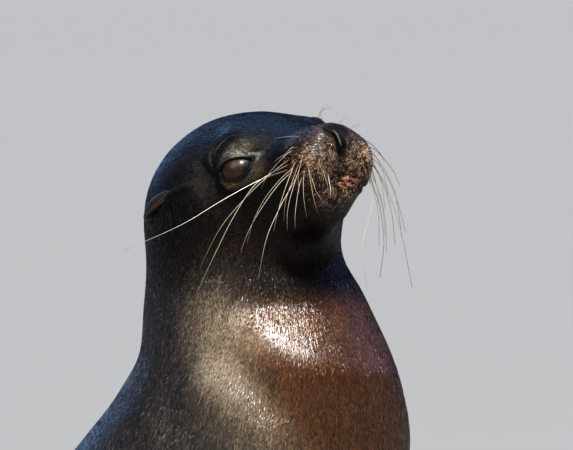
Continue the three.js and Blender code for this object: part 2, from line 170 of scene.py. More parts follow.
def mesh_edges(mesh: Mesh) -> Rows:
    """The two vertices that each edge of a mesh joins."""
    flat = np.empty(len(mesh.edges) * 2, np.int32)
    mesh.edges.foreach_get("vertices", flat)
    return flat.reshape(-1, 2)


def set_points(mesh: Mesh, points: Rows) -> None:
    """Moves a mesh's vertices."""
    mesh.vertices.foreach_set("co", points.astype(np.float32).ravel())
    mesh.update()


def set_colours(mesh: Mesh, name: str, colours: Rows) -> None:
    """Gives each vertex a colour.

    Args:
        mesh: The mesh.
        name: The attribute that holds the colours.
        colours: Rows of red, green and blue.
    """
    layer = mesh.color_attributes.new(name, "FLOAT_COLOR", "POINT")
    full = np.ones((len(mesh.vertices), 4), np.float32)
    full[:, :3] = colours
    layer.data.foreach_set("color", full.ravel())


def new_object(name: str, data: bpy.types.ID) -> Object:
    """An object of that name in the scene, for a mesh, a light or a camera."""
    thing = bpy.data.objects.new(name, data)
    bpy.context.scene.collection.objects.link(thing)
    return thing


def mesh_from(name: str, points: Rows, faces: Sequence[Sequence[int]]) -> Mesh:
    """A smooth-shaded mesh from points and faces.

    Args:
        name: The mesh's name.
        points: Rows of places.
        faces: The corners of each face.

    Returns:
        The mesh.
    """
    mesh = bpy.data.meshes.new(name)
    mesh.from_pydata(np.asarray(points, float).tolist(), [], [list(map(int, f)) for f in faces])
    mesh.shade_smooth()
    return mesh


def applied(thing: Object) -> Object:
    """Makes an object's modifiers part of its mesh, and removes them."""
    bpy.context.view_layer.update()
    evaluated = thing.evaluated_get(bpy.context.evaluated_depsgraph_get())
    mesh = bpy.data.meshes.new_from_object(evaluated)
    old = thing.data
    thing.modifiers.clear()
    thing.data = mesh
    bpy.data.meshes.remove(old)
    return thing


def relax(thing: Object, weights: Rows, rounds: int) -> None:
    """Smooths a mesh.

    Args:
        thing: The object.
        weights: How much each vertex follows, from 0 to 1.
        rounds: How many times each vertex moves half-way to its neighbours' middle.
    """
    group = thing.vertex_groups.new(name="relax")
    levels = 16
    level = np.rint(np.clip(weights, 0.0, 1.0) * levels).astype(int)
    for n in range(1, levels + 1):
        members = np.nonzero(level == n)[0].tolist()
        if members:
            group.add(members, n / levels, "REPLACE")
    smooth = thing.modifiers.new("relax", "SMOOTH")
    smooth.factor = 0.5
    smooth.iterations = rounds
    smooth.vertex_group = group.name
    applied(thing)
    thing.vertex_groups.clear()


def face_outwards(mesh: Mesh) -> None:
    """Turns a closed mesh's faces so that they look out."""
    work = bmesh.new()
    work.from_mesh(mesh)
    bmesh.ops.recalc_face_normals(work, faces=work.faces)
    work.to_mesh(mesh)
    work.free()


def turn_back_to(thing: Object, back: Rows) -> None:
    """Turns a camera or a light so that its back points in a direction."""
    thing.rotation_euler = Vector(-back).to_track_quat("-Z", "Y").to_euler()


def box_centre(node: str) -> Rows:
    """The middle of a node's box."""
    low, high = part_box(node)
    return np.array((low + high) / 2)


# ------ the head's frame


@dataclass(frozen=True)
class HeadFrame:
    """The head's own frame: +X to the nose, +Y left, +Z to the crown, in millimetres.

    Attributes:
        yaw: The turn to the left, in degrees.
        pitch: The lift of the nose, in degrees.
        roll: The tilt of the crown, in degrees.
        eyes: Where the middle between the eyes is, in millimetres.
        middle: Where the middle of the skull is, in millimetres.
    """

    yaw: float = -17.0
    pitch: float = 22.0
    roll: float = 3.0
    eyes: Point = (45.0, 0.0, 17.0)
    middle: Point = (15.0, 0.0, 5.0)

    @property
    def turn(self) -> Rows:
        """The three axes as columns."""
        turn = (
            Matrix.Rotation(math.radians(self.yaw), 3, "Z")
            @ Matrix.Rotation(math.radians(-self.pitch), 3, "Y")
            @ Matrix.Rotation(math.radians(self.roll), 3, "X")
        )
        return np.array(turn)

    @property
    def origin(self) -> Rows:
        """Where the frame stands, from the places of the two eyes."""
        middle = (box_centre("eye_left") + box_centre("eye_right")) / 2
        return middle - self.turn @ (np.array(self.eyes) * MM)

    def local(self, points: Rows) -> Rows:
        """Places in the part's frame, as millimetres in the head's."""
        return (points - self.origin) @ self.turn / MM

    def away(self, points: Rows) -> Rows:
        """How far places in the part's frame lie from the middle of the skull, in millimetres."""
        return norms(self.local(points) - np.array(self.middle))

    def world(self, points: Sequence[Sequence[float]] | Rows) -> Rows:
        """Millimetres in the head's frame, as places in the part's."""
        return (np.asarray(points, float) * MM) @ self.turn.T + self.origin

    def direction(self, rows: Sequence[Sequence[float]] | Rows) -> Rows:
        """Directions in the head's frame, as directions in the part's."""
        return np.asarray(rows, float) @ self.turn.T


HEAD = HeadFrame()


# ------ the coat's lie


@dataclass
class Lie:
    """Which way the fur lies, and where along the body a place is.

    Each axis runs through a stretch of the body in the direction of the lie: from the nose over the crown
    to the tail, and down each limb.

    Attributes:
        softness: How soon one axis gives way to another, in metres.
        girth: How far from the middle the coordinates across the lie are measured, in metres.
        sideways: Roughly the animal's left, but never quite the direction of an axis.
        axes: The points of each axis.
    """

    softness: float = 0.05
    girth: float = 0.12
    sideways: Point = (0.13, 1.0, 0.07)
    axes: list[Rows] = field(default_factory=list)

    def __post_init__(self) -> None:
        """Lays the axes through the middles of the solids."""
        head = HEAD.world([[118, 0, 0], [60, 0, 5], [0, 0, 0], [-20, 0, -40]])
        stations = [box_centre(node) for node in ("neck", "chest", "belly", "rump", "tail")]
        stations[0] = stations[0] + np.array([-0.01, 0.0, 0.0])
        self.axes = [smooth_line([*head, *stations], 8)]
        for side in SIDES:
            shoulder = box_centre("chest") * 0.6 + box_centre(f"forearm_{side}") * 0.4
            hand = box_centre(f"foreflipper_{side}")
            self.axes.append(smooth_line([shoulder, box_centre(f"forearm_{side}"), hand], 8))
            knee = box_centre("rump") * 0.5 + box_centre(f"hind_leg_{side}") * 0.5
            foot = box_centre(f"hind_flipper_{side}")
            self.axes.append(smooth_line([knee, box_centre(f"hind_leg_{side}"), foot], 8))

    def stretches(self, points: Rows) -> Iterator[Stretch]:
        """Each short stretch of each axis, as seen from places on the skin.

        Args:
            points: The places.

        Returns:
            The stretch's start and direction, the gap from each place to it, how far along the axis it
            starts, and how far past its start each place lies.
        """
        for axis in self.axes:
            travelled = 0.0
            for start, end in zip(axis, axis[1:]):
                length = float(np.linalg.norm(end - start))
                ahead = (end - start) / length
                past = (points - start) @ ahead
                nearest = start + np.clip(past, 0.0, length)[:, None] * ahead
                yield start, ahead, norms(points - nearest), travelled, past
                travelled += length

    def unrolled(self, points: Rows) -> tuple[Rows, Rows, Rows]:
        """Places on the skin as if the trunk and each limb were slit along the back and rolled out.

        Args:
            points: The places.

        Returns:
            Which axis each place belongs to, and how far round it and how far along it the place lies, from
            0 to 1.
        """
        best = np.full(len(points), np.inf)
        index, around, along = np.zeros(len(points), int), np.zeros(len(points)), np.zeros(len(points))
        lengths = [float(norms(np.diff(axis, axis=0)).sum()) for axis in self.axes]
        current = -1
        for start, ahead, gap, travelled, past in self.stretches(points):
            current += travelled == 0.0
            nearer = gap < best
            side = unit(np.cross(ahead, self.sideways))
            offset = points[nearer] - start
            around[nearer] = np.arctan2(offset @ side, offset @ np.cross(side, ahead)) / (2 * math.pi) + 0.5
            along[nearer] = (travelled + past[nearer] + 0.05) / (lengths[current] + 0.12)
            index[nearer] = current
            best[nearer] = gap[nearer]
        return index, around, np.clip(along, 0.0, 1.0)

    def along(self, points: Rows, normals: Rows) -> Rows:
        """Which way the fur lies.

        Args:
            points: Places on the skin.
            normals: Its outward directions there.

        Returns:
            Directions in the skin, of length 1.
        """
        total = np.zeros_like(points)
        for _, ahead, gap, _, _ in self.stretches(points):
            total += ((gap / self.softness + 0.3) ** -6.0)[:, None] * ahead
        total -= (total * normals).sum(1)[:, None] * normals
        return unit(total)

    def grain(self, points: Rows) -> Rows:
        """Coordinates that change fast across the lie and slowly along it.

        Args:
            points: Places on the skin.

        Returns:
            Rows of two coordinates across the lie, about as long as the girth, and one along it, in metres.
        """
        total = np.zeros((len(points), 3))
        weights = np.zeros(len(points))
        for start, ahead, gap, travelled, past in self.stretches(points):
            weight = (gap / self.softness + 0.05) ** -12.0
            side = unit(np.cross(ahead, self.sideways))
            up = np.cross(side, ahead)
            offset = points - start
            round_it = unit(offset - past[:, None] * ahead) * self.girth
            total += weight[:, None] * np.column_stack([round_it @ side, round_it @ up, travelled + past])
            weights += weight
        return total / weights[:, None]


# ------ the skin

LIMB_NODES = ("forearm", "foreflipper", "hind_leg", "hind_flipper")
TRUNK_NODES = ("head", "muzzle", "nose", "lower_jaw", "neck", "chest", "belly", "rump", "tail")
FLESH = TRUNK_NODES + tuple(f"{node}_{side}" for node in LIMB_NODES for side in SIDES)


@dataclass
class Neighbours:
    """Which vertices of a mesh are joined by edges, for smoothing values over it.

    Attributes:
        mesh: The mesh.
        chosen: Which vertices take part; the others stay as they are.
        pull: How far a value moves towards its neighbours' mean each time, as a share.
    """

    mesh: Mesh
    chosen: Rows
    pull: float = 0.6

    def __post_init__(self) -> None:
        """Keeps the edges whose ends both take part."""
        pairs = mesh_edges(self.mesh)
        pairs = pairs[self.chosen[pairs].all(1)]
        self.index = np.nonzero(self.chosen)[0]
        place = np.full(len(self.chosen), -1)
        place[self.index] = np.arange(len(self.index))
        self.ends = place[np.vstack([pairs, pairs[:, ::-1]])]
        self.count = np.maximum(np.bincount(self.ends[:, 0], minlength=len(self.index)), 1)

    def diffuse(self, values: Rows, rounds: int) -> Rows:
        """Smooths values over the chosen vertices.

        Args:
            values: One row for each chosen vertex.
            rounds: How many times each value moves towards its neighbours' mean.

        Returns:
            The smoothed values.
        """
        values = values.copy()
        for _ in range(rounds):
            for k in range(values.shape[1]):
                total = np.bincount(self.ends[:, 0], values[self.ends[:, 1], k], len(self.index))
                values[:, k] += self.pull * (total / self.count - values[:, k])
        return values

    def polish(self, points: Rows, rounds: int) -> Rows:
        """Smooths small bumps away and keeps the broad shape.

        Args:
            points: The places of all the mesh's vertices.
            rounds: How strongly the bumps are smoothed.

        Returns:
            The new places of all vertices.
        """
        rough = points[self.index]
        smooth = self.diffuse(rough, rounds)
        kept = self.diffuse(rough - smooth, rounds * 2)
        points = points.copy()
        points[self.index] = smooth + kept
        return points


class Zone(Enum):
    """Parts of the head whose faces are divided, from the widest to the finest."""

    HEAD = "head"
    FACE = "face"
    LIDS = "lids"
    NOSE = "nose"

    def holds(self, local: Rows) -> Rows:
        """Which places in the head's frame lie in the zone."""
        x, y, z = local.T
        eyes = [norms(local - EyeSocket(side).centre) for side in SIDES]
        if self is Zone.HEAD:
            return (norms(local - [10, 0, 5]) < 118) & (z > -75)
        if self is Zone.FACE:
            return (x > 62) & (z > -62) | (np.min(eyes, axis=0) < 34)
        if self is Zone.LIDS:
            return np.min(eyes, axis=0) < 24
        return (x > 122) & (np.abs(y) < 13) & (z > -9)


@dataclass
class Skin:
    """The one skin over all the flesh.

    Attributes:
        voxel: The size of the cells that the solids are joined in, in metres.
        overlap: How far each solid grows to close the cuts between them, in metres.
        coat_depth: How far the skin lies inside the solids where fur grows, in metres.
        trunk_rounds: How strongly the trunk is smoothed.
        head_rounds: How strongly the head is smoothed.
        last_rounds: How strongly the head is smoothed once its faces are divided.
        kept_share: The share of its faces that the skin keeps when its smooth stretches are thinned.
    """

    voxel: float = 0.0034
    overlap: float = 0.0005
    coat_depth: float = 0.001
    trunk_rounds: int = 160
    head_rounds: int = 16
    last_rounds: int = 6
    kept_share: float = 0.62

    def build(self) -> Object:
        """Joins the solids of flesh into one skin and smooths it.

        Returns:
            The skin, before its folds are made.
        """
        skin = self.joined()
        remesh = skin.modifiers.new("join", "REMESH")
        remesh.mode = "VOXEL"
        remesh.voxel_size = self.voxel
        applied(skin)
        self.drop_stray_shells(skin.data)
        self.smooth(skin)
        self.thin(skin)
        for zone in Zone:
            self.refine(skin, zone)
        mesh = skin.data
        local = HEAD.local(mesh_points(mesh))
        near = (norms(local - [20, 0, 0]) < 150) & (local[:, 2] > -95)
        set_points(mesh, Neighbours(mesh, near).polish(mesh_points(mesh), self.last_rounds))
        return skin

    def joined(self) -> Object:
        """One object with a slightly grown copy of every solid of flesh, and of the two eyes."""
        points, faces = [], []
        for node in (*FLESH, "eye_left", "eye_right"):
            mesh = bpy.data.objects[node].data
            first = sum(len(p) for p in points)
            merged = bmesh.new()
            merged.from_mesh(mesh)
            bmesh.ops.remove_doubles(merged, verts=merged.verts, dist=1e-6)
            merged.normal_update()
            points.append(np.array([v.co + v.normal * self.overlap for v in merged.verts]))
            faces += [[first + v.index for v in f.verts] for f in merged.faces]
            merged.free()
        return new_object("skin", mesh_from("skin", np.vstack(points), faces))

    def drop_stray_shells(self, mesh: Mesh) -> None:
        """Removes what isn't joined to the main shell."""
        pairs = mesh_edges(mesh)
        label = np.arange(len(mesh.vertices))
        while True:
            low = np.minimum(label[pairs[:, 0]], label[pairs[:, 1]])
            new = label.copy()
            np.minimum.at(new, pairs[:, 0], low)
            np.minimum.at(new, pairs[:, 1], low)
            new = new[new]
            if (new == label).all():
                break
            label = new
        shells, sizes = np.unique(label, return_counts=True)
        LOG.info("skin shells: %s", sizes.tolist())
        stray = np.nonzero(label != shells[sizes.argmax()])[0]
        if len(stray):
            work = bmesh.new()
            work.from_mesh(mesh)
            work.verts.ensure_lookup_table()
            bmesh.ops.delete(work, geom=[work.verts[i] for i in stray], context="VERTS")
            work.to_mesh(mesh)
            work.free()

    def paddle_share(self, points: Rows) -> Rows:
        """How much each place belongs to a flat hand or foot, from 0 to 1."""
        share = np.zeros(len(points))
        for node in ("foreflipper", "hind_flipper"):
            for side in SIDES:
                low, high = (np.array(corner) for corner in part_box(f"{node}_{side}"))
                outside = np.maximum(np.maximum(low - points, points - high), 0.0)
                share = np.maximum(share, 1.0 - smoothstep(0.0, 0.012, norms(outside)))
        return share * (1.0 - smoothstep(0.045, 0.075, points[:, 2]))

    def head_share(self, points: Rows) -> Rows:
        """How much each place belongs to the head, from 0 to 1."""
        return 1.0 - smoothstep(120.0, 150.0, HEAD.away(points))

    def smooth(self, skin: Object) -> None:
        """Takes the facets and cell marks out of the skin, and sinks it by the coat's depth."""
        points = mesh_points(skin.data)
        paddle, head = self.paddle_share(points), self.head_share(points)
        relax(skin, 1.0 - 0.75 * paddle, 4)
        relax(skin, (1.0 - paddle) * (1.0 - head), self.trunk_rounds)
        mesh = skin.data
        points = Neighbours(mesh, head > 0.02).polish(mesh_points(mesh), self.head_rounds)
        points -= mesh_normals(mesh) * (self.coat_depth * (1.0 - paddle))[:, None]
        points[:, 2] = np.maximum(points[:, 2], 0.0)
        set_points(mesh, points)

    def thin(self, skin: Object) -> None:
        """Leaves fewer faces where the skin is smooth, away from the head, hands and feet."""
        points = mesh_points(skin.data)
        spare = (1.0 - self.paddle_share(points)) * (1.0 - self.head_share(points))
        group = skin.vertex_groups.new(name="spare")
        group.add(np.nonzero(spare > 0.99)[0].tolist(), 1.0, "REPLACE")
        thin = skin.modifiers.new("thin", "DECIMATE")
        thin.ratio = self.kept_share
        thin.vertex_group = group.name
        applied(skin)
        skin.vertex_groups.clear()

    def refine(self, skin: Object, zone: Zone) -> None:
        """Cuts each edge in a zone of the skin in two, and divides the faces with them."""
        mesh = skin.data
        inside = zone.holds(HEAD.local(mesh_points(mesh)))
        work = bmesh.new()
        work.from_mesh(mesh)
        work.verts.ensure_lookup_table()
        edges = [e for e in work.edges if inside[e.verts[0].index] and inside[e.verts[1].index]]
        bmesh.ops.subdivide_edges(work, edges=edges, cuts=1, use_grid_fill=True, use_single_edge=True)
        work.to_mesh(mesh)
        work.free()
        mesh.shade_smooth()


# ------ the sculpted details


@dataclass(frozen=True)
class Stroke:
    """A fold or a ridge along a curve on the head.

    Attributes:
        points: The curve's points in the head's frame on the animal's right, in millimetres.
        height: How far the middle rises, or sinks where it is less than zero, in millimetres.
        width: How far from the curve the stroke fades, in millimetres.
        mirrored: Whether the left side has it too.
        taper: How much of the height is lost towards the two ends, from 0 to 1.
        depth: How much gaps to the front and back count, so that a curve need not lie quite on the skin.
    """

    points: tuple[Point, ...]
    height: float
    width: float
    mirrored: bool = True
    taper: float = 0.7
    depth: float = 1.0

    def rise(self, local: Rows) -> Rows:
        """How far each place in the head's frame rises."""
        rise = np.zeros(len(local))
        for turn in (1.0, -1.0) if self.mirrored else (1.0,):
            line = smooth_line(self.points) * [1.0, turn, 1.0]
            reach = 3 * self.width / np.array([self.depth, 1.0, 1.0])
            near = ((local > line.min(0) - reach) & (local < line.max(0) + reach)).all(1)
            squeeze = np.array([self.depth, 1.0, 1.0])
            gap, share = distance_to_line(local[near] * squeeze, line * squeeze)
            ends = 1.0 - self.taper * (2.0 * share - 1.0) ** 4
            rise[near] += self.height * ends * np.exp(-((gap / self.width) ** 2))
        return rise


@dataclass(frozen=True)
class Mound:
    """A soft swelling or hollow on the head.

    Attributes:
        centre: Its middle in the head's frame on the animal's left, in millimetres.
        height: How far it rises, or sinks where it is less than zero, in millimetres.
        reach: How far it spreads along x, y and z, in millimetres.
        mirrored: Whether the right side has it too.
    """

    centre: Point
    height: float
    reach: Point
    mirrored: bool = True

    def rise(self, local: Rows) -> Rows:
        """How far each place in the head's frame rises."""
        rise = np.zeros(len(local))
        for turn in (1.0, -1.0) if self.mirrored else (1.0,):
            offset = (local - np.array(self.centre) * [1.0, turn, 1.0]) / np.array(self.reach)
            rise += self.height * np.exp(-(offset**2).sum(1))
        return rise


@dataclass
class EyeSocket:
    """The lids round one eye.

    The opening is drawn on the ball, as millimetres along the slit to the nose and up across it, seen from
    where the eye looks.

    Attributes:
        side: The animal's left or right.
        gaze: Where the left eye looks, in the head's frame.
        ball: The ball's radius in millimetres.
        lid: How thick the lids are in millimetres.
        upper_lid: The edge of the upper lid, from the corner at the nose backwards.
        lower_lid: The edge of the lower lid, from the outer corner to the nose.
        stand_off: How far the lids stand off the ball in the corner at the nose, in millimetres.
        surround: How far from the ball's middle the markings round the eye can reach, in millimetres.
        far_outside: What counts as the distance from the opening behind the ball, in millimetres.
    """

    side: str
    gaze: Point = (0.611, 0.791, 0.029)
    ball: float = 19.0
    lid: float = 1.7
    upper_lid: Outline = (
        *((15.0, 4.9), (10.8, 7.0), (4.2, 8.1), (-2.2, 8.3)),
        *((-8.0, 7.4), (-13.0, 5.2), (-16.2, 2.2)),
    )
    lower_lid: Outline = (
        *((-14.6, -2.0), (-10.4, -6.0), (-4.3, -8.6), (2.4, -8.8)),
        *((8.3, -6.4), (12.2, -2.4), (13.8, 1.4)),
    )
    stand_off: float = 4.0
    surround: float = 48.0
    far_outside: float = 60.0

    @property
    def centre(self) -> Rows:
        """The ball's middle in the head's frame, in millimetres."""
        return HEAD.local(box_centre(f"eye_{self.side}")[None])[0]

    @property
    def axes(self) -> Rows:
        """Rows that point along the slit to the nose, up across it, and out where the eye looks."""
        out = np.array(self.gaze) * [1.0, MIRROR[self.side], 1.0]
        out /= np.linalg.norm(out)
        ahead = np.array([1.0, 0.0, 0.0])
        ahead = unit((ahead - (ahead @ out) * out)[None])[0]
        up = np.cross(out, ahead) * (-MIRROR[self.side])
        return np.array([ahead, up, out])

    def edge(self) -> Rows:
        """The smooth closed edge of the opening, with its one sharp corner at the nose."""
        return smooth_line([*self.upper_lid, *self.lower_lid, self.upper_lid[0]], 8)

    def on_ball(self, local: Rows) -> tuple[Rows, Rows]:
        """Places of the head as seen from the ball's middle.

        Args:
            local: Places in the head's frame, in millimetres.

        Returns:
            Their places along the slit, up across it and outwards, as if they lay on the lids, and their
            distances from the ball's middle.
        """
        offset = local - self.centre
        away = norms(offset)
        return unit(offset) @ self.axes.T * (self.ball + self.lid), away

    def around(self, local: Rows) -> tuple[Rows, Rows, Rows]:
        """The places of the head that lie round the eye.

        Args:
            local: Places in the head's frame, in millimetres.

        Returns:
            Which of them lie near the eye, and for these their places on the ball and how far outside the
            opening they lie, in millimetres.
        """
        near = norms(local - self.centre) < self.surround
        places, _ = self.on_ball(local[near])
        return near, places, np.where(places[:, 2] > -4, self.beyond_edge(places), self.far_outside)

    def beyond_edge(self, places: Rows) -> Rows:
        """How far places on the ball lie outside the opening, in millimetres, less than zero inside it."""
        edge = self.edge()
        gap, _ = distance_to_line(places[:, :2], edge)
        x, y = places[:, 0], places[:, 1]
        inside = np.zeros(len(places), bool)
        for (x0, y0), (x1, y1) in zip(edge, edge[1:]):
            if y0 != y1:
                inside ^= ((y0 > y) != (y1 > y)) & (x < (x1 - x0) * (y - y0) / (y1 - y0) + x0)
        return np.where(inside, -gap, gap)

    def open_lids(self, local: Rows) -> Rows:
        """Makes the opening and the lids in the skin.

        Args:
            local: Places of the skin in the head's frame, in millimetres.

        Returns:
            The new places.
        """
        near = norms(local - self.centre) < 2.2 * self.ball
        places, away = self.on_ball(local[near])
        facing = places[:, 2] > 0.0
        beyond = np.where(facing, self.beyond_edge(places), 40.0)
        inner = self.ball - 2.2
        rim = self.ball + self.lid
        corner = smoothstep(7.0, 15.0, places[:, 0])
        edge = np.clip(away, rim, rim + self.stand_off * corner)
        lid = inner + (edge - inner) * smoothstep(-1.0, 0.5, beyond)
        swell = 0.55 * np.exp(-(((beyond - 1.3) / 0.9) ** 2)) - 0.5 * np.exp(-(((beyond - 3.6) / 0.9) ** 2))
        lid += swell
        thick = np.maximum(away, rim + 0.12 * np.maximum(beyond, 0.0))
        slope = np.clip((beyond - 0.8) / (8.2 - 4.2 * corner), 0.0, 1.0)
        radius = lid + (thick - lid) * slope * slope * (3.0 - 2.0 * slope)
        radius = np.where(beyond < 12.0, radius, np.maximum(away, 0.0))
        moved = local.copy()
        moved[near] = self.centre + unit(local[near] - self.centre) * radius[:, None]
        return moved


@dataclass
class Face:
    """The folds and swellings of the head.

    Attributes:
        slits: Deep lines that are bare, coloured dark along their depth as painted shade.
        strokes: The other folds and ridges.
        pale_lines: Thin ridges, coloured pale as a painted highlight.
        mounds: Soft swellings and hollows.
    """

    slits: tuple[Stroke, ...] = (
        # slits of the nostrils
        Stroke(
            (
                *((129, -10, 26.5), (133, -8.2, 21.5), (136, -5.2, 17), (138, -3.4, 12)),
                *((137, -2.6, 6), (135, -1.2, -1), (131, 0.4, -6)),
            ),
            -3.2, 0.70, mirrored=False, taper=0.2, depth=0.2,
        ),
        Stroke(
            ((131, 4.5, 26.5), (135, 2.6, 21), (138, 1.4, 16), (137, 1.6, 10), (136, 3.0, 4)),
            -3.0, 0.62, mirrored=False, taper=0.2, depth=0.2,
        ),
        # groove below the nostrils
        Stroke(((136, 0, 1), (133, 0, -5), (129, 0, -11)), -1.2, 1.1, mirrored=False),
        # line of the mouth
        Stroke(
            (
                *((123, 0, -20.5), (119, -15, -22.5), (110, -26, -22.5)),
                *((98, -32, -23.5), (84, -37.5, -24), (69, -43, -21)),
            ),
            -1.9, 1.2, taper=0.3,
        ),
        # fold that runs down from the ear
        Stroke(((-13, -87, 9), (-14.5, -88, 2), (-18, -89, -12)), -2.2, 1.8),
    )
    strokes: tuple[Stroke, ...] = (
        # wing of the nostril, and the septum
        Stroke(((128, -11.5, 26), (133, -8.6, 21), (137, -6.6, 13), (137, -5.0, 4)), 0.7, 1.6),
        Stroke(((134, -3, 25), (138, -1, 14), (137, 0.2, 4)), 0.8, 1.2, mirrored=False, depth=0.3),
        # edges of the lips
        Stroke(
            ((123, 0, -17), (119, -17, -18.5), (111, -27, -18.5), (99, -33.5, -19.5), (84, -39, -20)),
            1.0, 2.2,
        ),
        Stroke(
            ((122, 0, -24.5), (117, -15, -26), (107, -23, -26.5), (95, -29, -27.5), (82, -34, -28)),
            0.9, 2.0,
        ),
        # back of the whisker pad
        Stroke(((119, -19, 27), (117, -28, 19), (113, -35, 9), (107, -38, -3), (100, -37, -13)), -0.9, 4.0),
        # fold over the brow and the one behind the eye
        Stroke(
            ((28.5, -64.5, 27), (29, -60.5, 39.5), (34.5, -55, 47), (44.5, -48.5, 51.3), (54, -44, 50.3)),
            -1.8, 1.5,
        ),
        Stroke(((27, -68, 20), (28, -69, 12), (33, -67, 3), (42, -61, -2)), -0.8, 1.8),
        # folds between brow and muzzle, which wrinkle the root of the nose
        Stroke(((84, -24, 38), (92, -18, 38), (101, -13, 37)), -0.8, 2.0),
        Stroke(((78, -29, 36), (87, -26, 32), (97, -24, 30)), -0.7, 2.2),
        Stroke(((44, 30, 60), (56, 31, 54), (67, 28, 45)), -1.3, 2.4, mirrored=False),
        Stroke(((50, 18, 62), (62, 20, 53), (72, 20, 42)), -1.1, 2.2, mirrored=False),
        Stroke(((60, 24, 60), (70, 27, 53), (81, 26, 45)), -1.5, 1.5, mirrored=False, depth=0.5),
        Stroke(((68, 36, 53), (77, 37, 47), (86, 34, 40)), -1.3, 1.4, mirrored=False, depth=0.5),
        # fold under the eye, towards the nose
        Stroke(((70, -44, 16), (66, -48, 8), (57, -54, 2), (46, -59, -1)), -0.9, 1.6),
        # ridge that runs into the ear
        Stroke(((14, -76, 22), (2, -79, 20), (-10, -83, 19), (-22, -88, 17)), 1.6, 3.2, taper=0.9),
        # edge of the fold below the ear, and a small fold before it
        Stroke(((-19, -88, 6), (-22, -89, -3), (-25, -89, -14)), 0.9, 2.6),
        Stroke(((10, -80, 9), (9, -80, 3), (9.5, -80, -5)), -0.8, 1.3),
    )
    pale_lines: tuple[Stroke, ...] = (
        # edge of the brow
        Stroke(
            (
                *((31, -62, 30), (32, -59, 38), (37, -54.5, 45)),
                *((45, -49, 49), (54, -44.5, 48), (60, -41.5, 46)),
            ),
            0.7, 1.2,
        ),
        # septum between the nostrils
        Stroke(
            ((134, -4.0, 23), (137, -2.0, 16.5), (138, -1.0, 11), (137, 0.3, 5)),
            0.5, 0.8, mirrored=False, depth=0.2,
        ),
    )
    mounds: tuple[Mound, ...] = (
        Mound((66, 35, 53), 5.2, (14, 12, 11), mirrored=False),  # brow, which is lifted on the left
        Mound((79, 35, 44), 4.4, (10, 11, 9), mirrored=False),
        Mound((122, 24, -3), 3.6, (16, 13, 15)),  # whisker pad
        Mound((80, 0, 36), -0.6, (20, 9, 10), mirrored=False),  # hollow along the bridge
        Mound((116, 7, -29), 3.2, (13, 17, 9)),  # lower lip
        Mound((119, 19, -19), 3.6, (13, 12, 10)),  # sides of the lips
        Mound((120, 23, -22), 3.2, (15, 13, 13), mirrored=False),
        Mound((126, 27, 0), 2.4, (14, 13, 17), mirrored=False),
        Mound((20, 57, -54), -5.4, (30, 30, 24), mirrored=False),  # throat
        Mound((112, 16, -38), 3.4, (14, 13, 12), mirrored=False),
        Mound((-40, -10, 62), -3.2, (45, 60, 34), mirrored=False),  # back of the crown
        Mound((100, 14, -44), 2.4, (18, 14, 11)),  # chin
        Mound((40, 0, 67), 4.4, (30, 34, 22), mirrored=False),  # forehead
    )

    def sculpt(self, skin: Object) -> None:
        """Presses the folds, swellings and lids into the skin."""
        mesh = skin.data
        points, normals = mesh_points(mesh), mesh_normals(mesh)
        local = HEAD.local(points)
        near = norms(local - [30, 0, 0]) < 170
        rise = np.zeros(near.sum())
        for form in (*self.slits, *self.strokes, *self.pale_lines, *self.mounds):
            rise += form.rise(local[near])
        moved = local[near] + (normals[near] @ HEAD.turn) * rise[:, None]
        for side in SIDES:
            moved = EyeSocket(side).open_lids(moved)
        points[near] = HEAD.world(moved)
        set_points(mesh, points)


@dataclass
class Trunk:
    """The folds of the neck and chest.

    Attributes:
        folds: The folds, in millimetres in the part's own frame.
    """

    folds: tuple[Stroke, ...] = (
        # the neck's lowest crease, over a shelf of fat that ends in a ridge across the chest
        Stroke(
            ((430, -84, 761), (447, -77, 758), (473, -48, 757), (491, -13, 757), (497, 22, 756)),
            -3.2, 15, mirrored=False, taper=0.9,
        ),
        Stroke(
            (
                *((449, -88, 731), (469, -81, 723), (484, -72, 714), (497, -61, 706), (511, -43, 700)),
                *((519, -19, 696), (519, 10, 695), (514, 38, 697), (500, 62, 706)),
            ),
            6.5, 25, mirrored=False, taper=0.9,
        ),
        # the crease down the chest's left front, where the ridge turns
        Stroke(((494, 64, 724), (505, 52, 706), (512, 44, 686), (514, 40, 664)), -2.6, 7, False, 0.9),
        # the shoulder's edge and the valley before it
        Stroke(
            ((404, -113, 694), (430, -111, 686), (455, -107, 672), (480, -99, 645), (497, -94, 605)),
            5.5, 26, mirrored=False, taper=0.9,
        ),
        Stroke(((425, -100, 722), (450, -98, 708), (473, -91, 690), (497, -84, 655)), -2.6, 17, False, 0.9),
        Stroke(
            ((404, 113, 694), (430, 111, 686), (455, 107, 672), (480, 99, 645), (497, 94, 605)),
            4.0, 28, mirrored=False, taper=0.9,
        ),
        # the nape
        Stroke(
            ((345, -104, 742), (312, -80, 742), (294, -40, 745), (290, 0, 747), (300, 60, 745)),
            4.2, 34, mirrored=False, taper=0.5,
        ),
        Stroke(((340, -112, 690), (306, -92, 693), (284, -50, 700), (280, 0, 705)), 5.5, 24, False, 0.5),
        # the breast, fuller on the left
        Stroke(((514, 42, 684), (516, 50, 650), (508, 60, 600)), 3.5, 40, False, 0.5),
    )

    def sculpt(self, skin: Object) -> None:
        """Presses the folds into the skin."""
        mesh = skin.data
        points = mesh_points(mesh)
        rise = sum(fold.rise(points / MM) for fold in self.folds)
        set_points(mesh, points + mesh_normals(mesh) * (rise * MM)[:, None])


# ------ the markings


